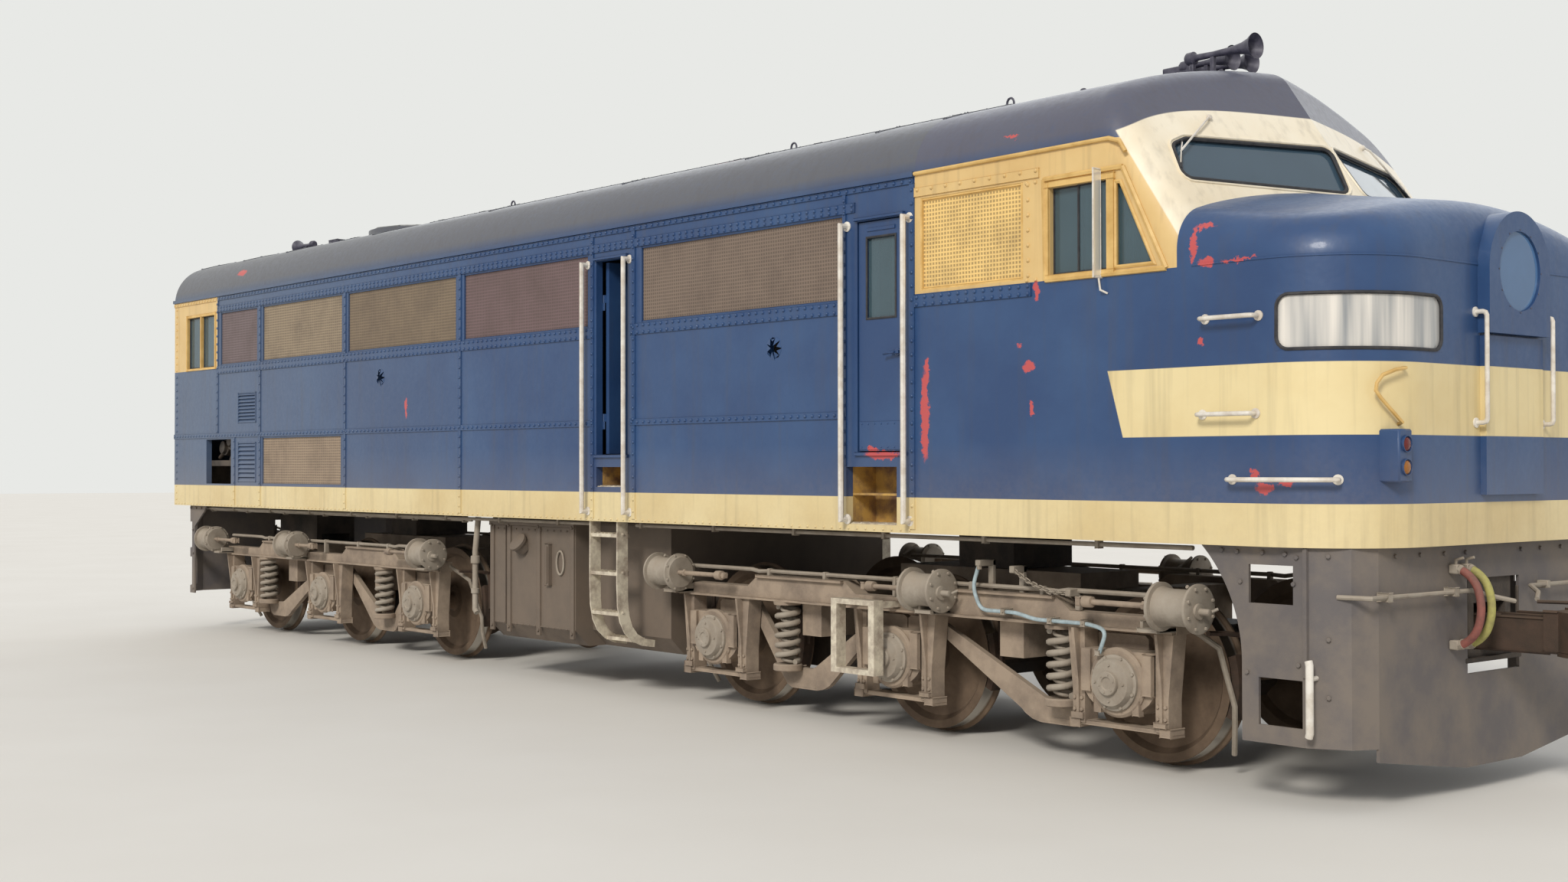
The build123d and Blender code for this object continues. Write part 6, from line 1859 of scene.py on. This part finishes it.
class LOCOMOTIVE_OT_inside(bpy.types.Operator):
    """Fit the cab's seats, desk and curtains and the machinery seen through the openings"""

    bl_idname = "locomotive.inside"
    bl_label = "Cab and engine room"

    def execute(self, context):
        for name, side in SIDES:
            y = side * 820.0
            posts = Piece()
            posts.turned(
                ((0, 130), (14, 130), (22, 60), (400, 52), (404, 90), (440, 96)), (5290, y, 1870),
                (0, 0, 1), 24,
            )
            posts.done(f"seat_post_{name}", finish("horn"), stands_for=("seats",))
            pads = Piece()
            for low, high in (
                ((5062, y - 228, 2318), (5498, y + 228, 2420)),
                ((4992, y - 218, 2400), (5078, y + 218, 2958)),
            ):
                pads.bar(low, high, 26.0)
            cushion = pads.done(f"seat_cushions_{name}", finish("vinyl"), soft=80, slot="seat_vinyl")
            crown = cushion.modifiers.new("crown", "SUBSURF")
            crown.levels = crown.render_levels = 2
        desk = Piece()
        for y in (-900.0, -700.0, -500.0, 520.0, 760.0):
            desk.turned(((0, 70), (14, 70), (16, 62), (10, 58)), (5946, y, 2776), (-0.9, 0, 0.45), 28)
        for y in (-1000.0, -820.0, 900.0):
            desk.tube([(6050, y, 2860), (6010, y, 2990), (5960, y, 3010)], 11, 8)
            desk.turned(((0, 14), (18, 22), (36, 14)), (5956, y, 3006), (-1, 0, 0.1), 14)
        desk.bar((5985, -1140, 2862), (6220, 1140, 2884), 4.0)
        desk.done("desk_instruments", finish("rubber"))
        # Curtains behind the cab door's glass and the quarter lights
        for name, side in SIDES:
            curtains = (
                # name, body, x0, x1, z0, z1, distance in from the wall, how far the top is drawn in
                (f"door_curtain_{name}_0", f"cab_door_{name}", 3900.0, 3978.0, 2765.0, 3285.0, 52.0, 0.0),
                (f"door_curtain_{name}_1", f"cab_door_{name}", 4087.2, 4160.0, 2765.0, 3285.0, 52.0, 0.0),
                (f"quarter_curtain_{name}_0", "body", 5985.0, 6150.0, 2935.0, 3395.0, 70.0, 0.28),
            )
            for row in curtains:
                hang_curtain(side, *row)
        # Machinery behind the missing plate and in the doorway
        gear = Piece()
        for x, z in ((-6480.0, 1900.0), (-6300.0, 1980.0), (-6220.0, 1760.0)):
            gear.turned(
                ((0, 60), (6, 84), (90, 84), (96, 70), (130, 66), (134, 30)), (x, -1250, z + 100),
                (0, -1, 0.1), 24,
            )
        gear.tube(
            [(-6640, -1330, 1900), (-6420, -1330, 2010), (-6200, -1340, 1990), (-6060, -1330, 2060)],
            22, 10,
        )
        gear.tube([(-6600, -1300, 2060), (-6380, -1300, 1960), (-6100, -1290, 1900)], 15, 8)
        gear.done("compressor_pipes", finish("motor"))
        engine = Piece()
        for side in (-1, 1):
            for number in range(8):
                x = -2400 + number * 560
                engine.bar((x, side * 702, 2900), (x + 460, side * 742, 3110), 14.0)
                engine.bolts((x + 230, side * 742, 3005), (0, side, 0), 90, 4, 11, 11)
                engine.bar((x + 20, side * 702, 2300), (x + 440, side * 724, 2700), 10.0)
            duct = ((-2650, 640, 3250), (-400, 640, 3330), (2200, 640, 3330), (3200, 560, 3250))
            engine.tube([(x, side * y, z) for x, y, z in duct], 60, 14)
            engine.tube([(-2650, side * 760, 2160), (3250, side * 760, 2160)], 34, 12)
            engine.tube([(-2600, side * 730, 2800), (3250, side * 730, 2800)], 22, 10)
        engine.done("engine_covers", finish("motor"), slot="motor_casing")
        return {"FINISHED"}


# Trims on the rear wall: y0, y1, z0, z1, those of the windows on each side
REAR_DOORWAY = (
    (-360, -330, 1880, 3590), (330, 360, 1880, 3590), (-360, 360, 3560, 3600), (-360, 360, 1862, 1892)
)
REAR_WINDOW = (
    (600, 622, 2880, 3460), (1118, 1140, 2880, 3460), (600, 1140, 3438, 3462), (600, 1140, 2878, 2902)
)


class LOCOMOTIVE_OT_doors(bpy.types.Operator):
    """Fit the doors' kick plates, hinges and inner stiffeners, and the rear end's fittings"""

    bl_idname = "locomotive.doors"
    bl_label = "Doors and rear end"

    def execute(self, context):
        for name, side in SIDES:
            cab = Piece()
            out = side * (WALL - 10)
            cab.bar((3826, out, 1906), (4234, out + side * 4, 2090), 1.5)
            for z in (1922, 2074):
                cab.rivets((3846, out + side * 4, z), (4214, out + side * 4, z), (0, side, 0), 60, 6)
            cab.turned(((0, 26), (6, 26), (9, 20)), (4182, out, 2530), (0, side, 0), 18)
            cab.tube(
                [(4182, out, 2530), (4182, out + side * 38, 2530), (4092, out + side * 42, 2522)], 9, 8
            )
            cab.bar((3900, out, 3330), (4160, out + side * 5, 3352), 1.5)
            cab.done(f"cab_door_plates_{name}", zone_enamel("door"), f"cab_door_{name}", slot="blue_paint")
            # Engine-room door: pressed stiffeners on its inner face, which shows where it stands open
            leaf = Piece()
            inner = side * (WALL - 50)
            for z0, z1 in ((1940, 2380), (2420, 2860), (2900, 3340)):
                stiles, rails = ((inner, inner - side * thick) for thick in (10.5, 12))
                leaf.frame(840, 1180, z0, z1, 26, 26, stiles, rails, 3.0)
            swing = math.radians(90.0) if side < 0 else 0.0
            hinge = Vector((804, side * 1403, 0))
            place = Matrix.Translation(hinge) @ Matrix.Rotation(swing, 4, "Z") @ Matrix.Translation(-hinge)
            leaf.done(
                f"engine_door_ribs_{name}", zone_enamel("door"), f"engine_door_{name}", place,
                slot="blue_paint",
            )
            gutter = Piece()
            for x0, x1 in ((790, 1230), (3800, 4262)):
                gutter.bar((x0, side * WALL, 3406), (x1, side * (WALL + 22), 3424), 3.0)
                gutter.bar((x0 - 2, side * WALL, 1868), (x1 + 2, side * (WALL + 16), 1888), 3.0)
            gutter.done(f"door_drips_{name}", zone_enamel("side"), slot="blue_paint")
        rear = Piece()
        face = TAIL
        for y0, y1, z0, z1 in REAR_DOORWAY:
            rear.bar((face, y0, z0), (face - 14, y1, z1), 3.0)
        for _, side in SIDES:
            rear.rivets((face, side * 1400, 1440), (face, side * 1400, 3500), (-1, 0, 0), 90, 9)
            for y0, y1, z0, z1 in REAR_WINDOW:
                rear.bar((face, side * y0, z0), (face - 10, side * y1, z1), 3.0)
        rear.rivets((face, -1380, 1400), (face, 1380, 1400), (-1, 0, 0), 90, 9)
        rear.done("rear_wall_trims", zone_enamel("door"), slot="blue_paint")
        rails = Piece()
        for _, side in SIDES:
            for y, z0, z1 in ((440, 1950, 2900), (1300, 1700, 2500)):
                bends = ((0, z0), (62, z0), (62, z1), (0, z1))
                rails.tube([(face - out, side * y, z) for out, z in bends], 15, 8)
        rails.done("rear_handrails", finish("rail"), slot="rail_paint")
        return {"FINISHED"}


class LOCOMOTIVE_PT_panel(bpy.types.Panel):
    """Lists the steps that dress the locomotive"""

    bl_idname = "LOCOMOTIVE_PT_panel"
    bl_label = "Diesel locomotive"
    bl_space_type = "VIEW_3D"
    bl_region_type = "UI"
    bl_category = "Locomotive"

    def draw(self, context):
        for step in STEPS:
            self.layout.operator(step.bl_idname)
        for group in (context.scene.locomotive_paint, context.scene.locomotive_sizes):
            box = self.layout.box()
            for name in group.__annotations__:
                box.prop(group, name)


STEPS = (
    LOCOMOTIVE_OT_studio,
    LOCOMOTIVE_OT_hoses,
    LOCOMOTIVE_OT_paint,
    LOCOMOTIVE_OT_seams,
    LOCOMOTIVE_OT_grilles,
    LOCOMOTIVE_OT_windows,
    LOCOMOTIVE_OT_lamps,
    LOCOMOTIVE_OT_horns,
    LOCOMOTIVE_OT_roof,
    LOCOMOTIVE_OT_fittings,
    LOCOMOTIVE_OT_doors,
    LOCOMOTIVE_OT_wheels,
    LOCOMOTIVE_OT_axleboxes,
    LOCOMOTIVE_OT_suspension,
    LOCOMOTIVE_OT_brakes,
    LOCOMOTIVE_OT_bogie_frames,
    LOCOMOTIVE_OT_underside,
    LOCOMOTIVE_OT_pilots,
    LOCOMOTIVE_OT_couplers,
    LOCOMOTIVE_OT_inside,
)
CLASSES = (PaintColours, FittingSizes, *STEPS, LOCOMOTIVE_PT_panel)


def register():
    """Registers the classes and hangs the two groups of settings on the scene."""
    for kind in CLASSES:
        bpy.utils.register_class(kind)
    bpy.types.Scene.locomotive_paint = bpy.props.PointerProperty(type=PaintColours)
    bpy.types.Scene.locomotive_sizes = bpy.props.PointerProperty(type=FittingSizes)


def unregister():
    """Takes the settings and the classes away again."""
    del bpy.types.Scene.locomotive_sizes
    del bpy.types.Scene.locomotive_paint
    for kind in reversed(CLASSES):
        bpy.utils.unregister_class(kind)


def main():
    """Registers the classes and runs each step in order."""
    register()
    for step in STEPS:
        group, name = step.bl_idname.split(".")
        getattr(getattr(bpy.ops, group), name)()


if __name__ == "__main__":
    main()
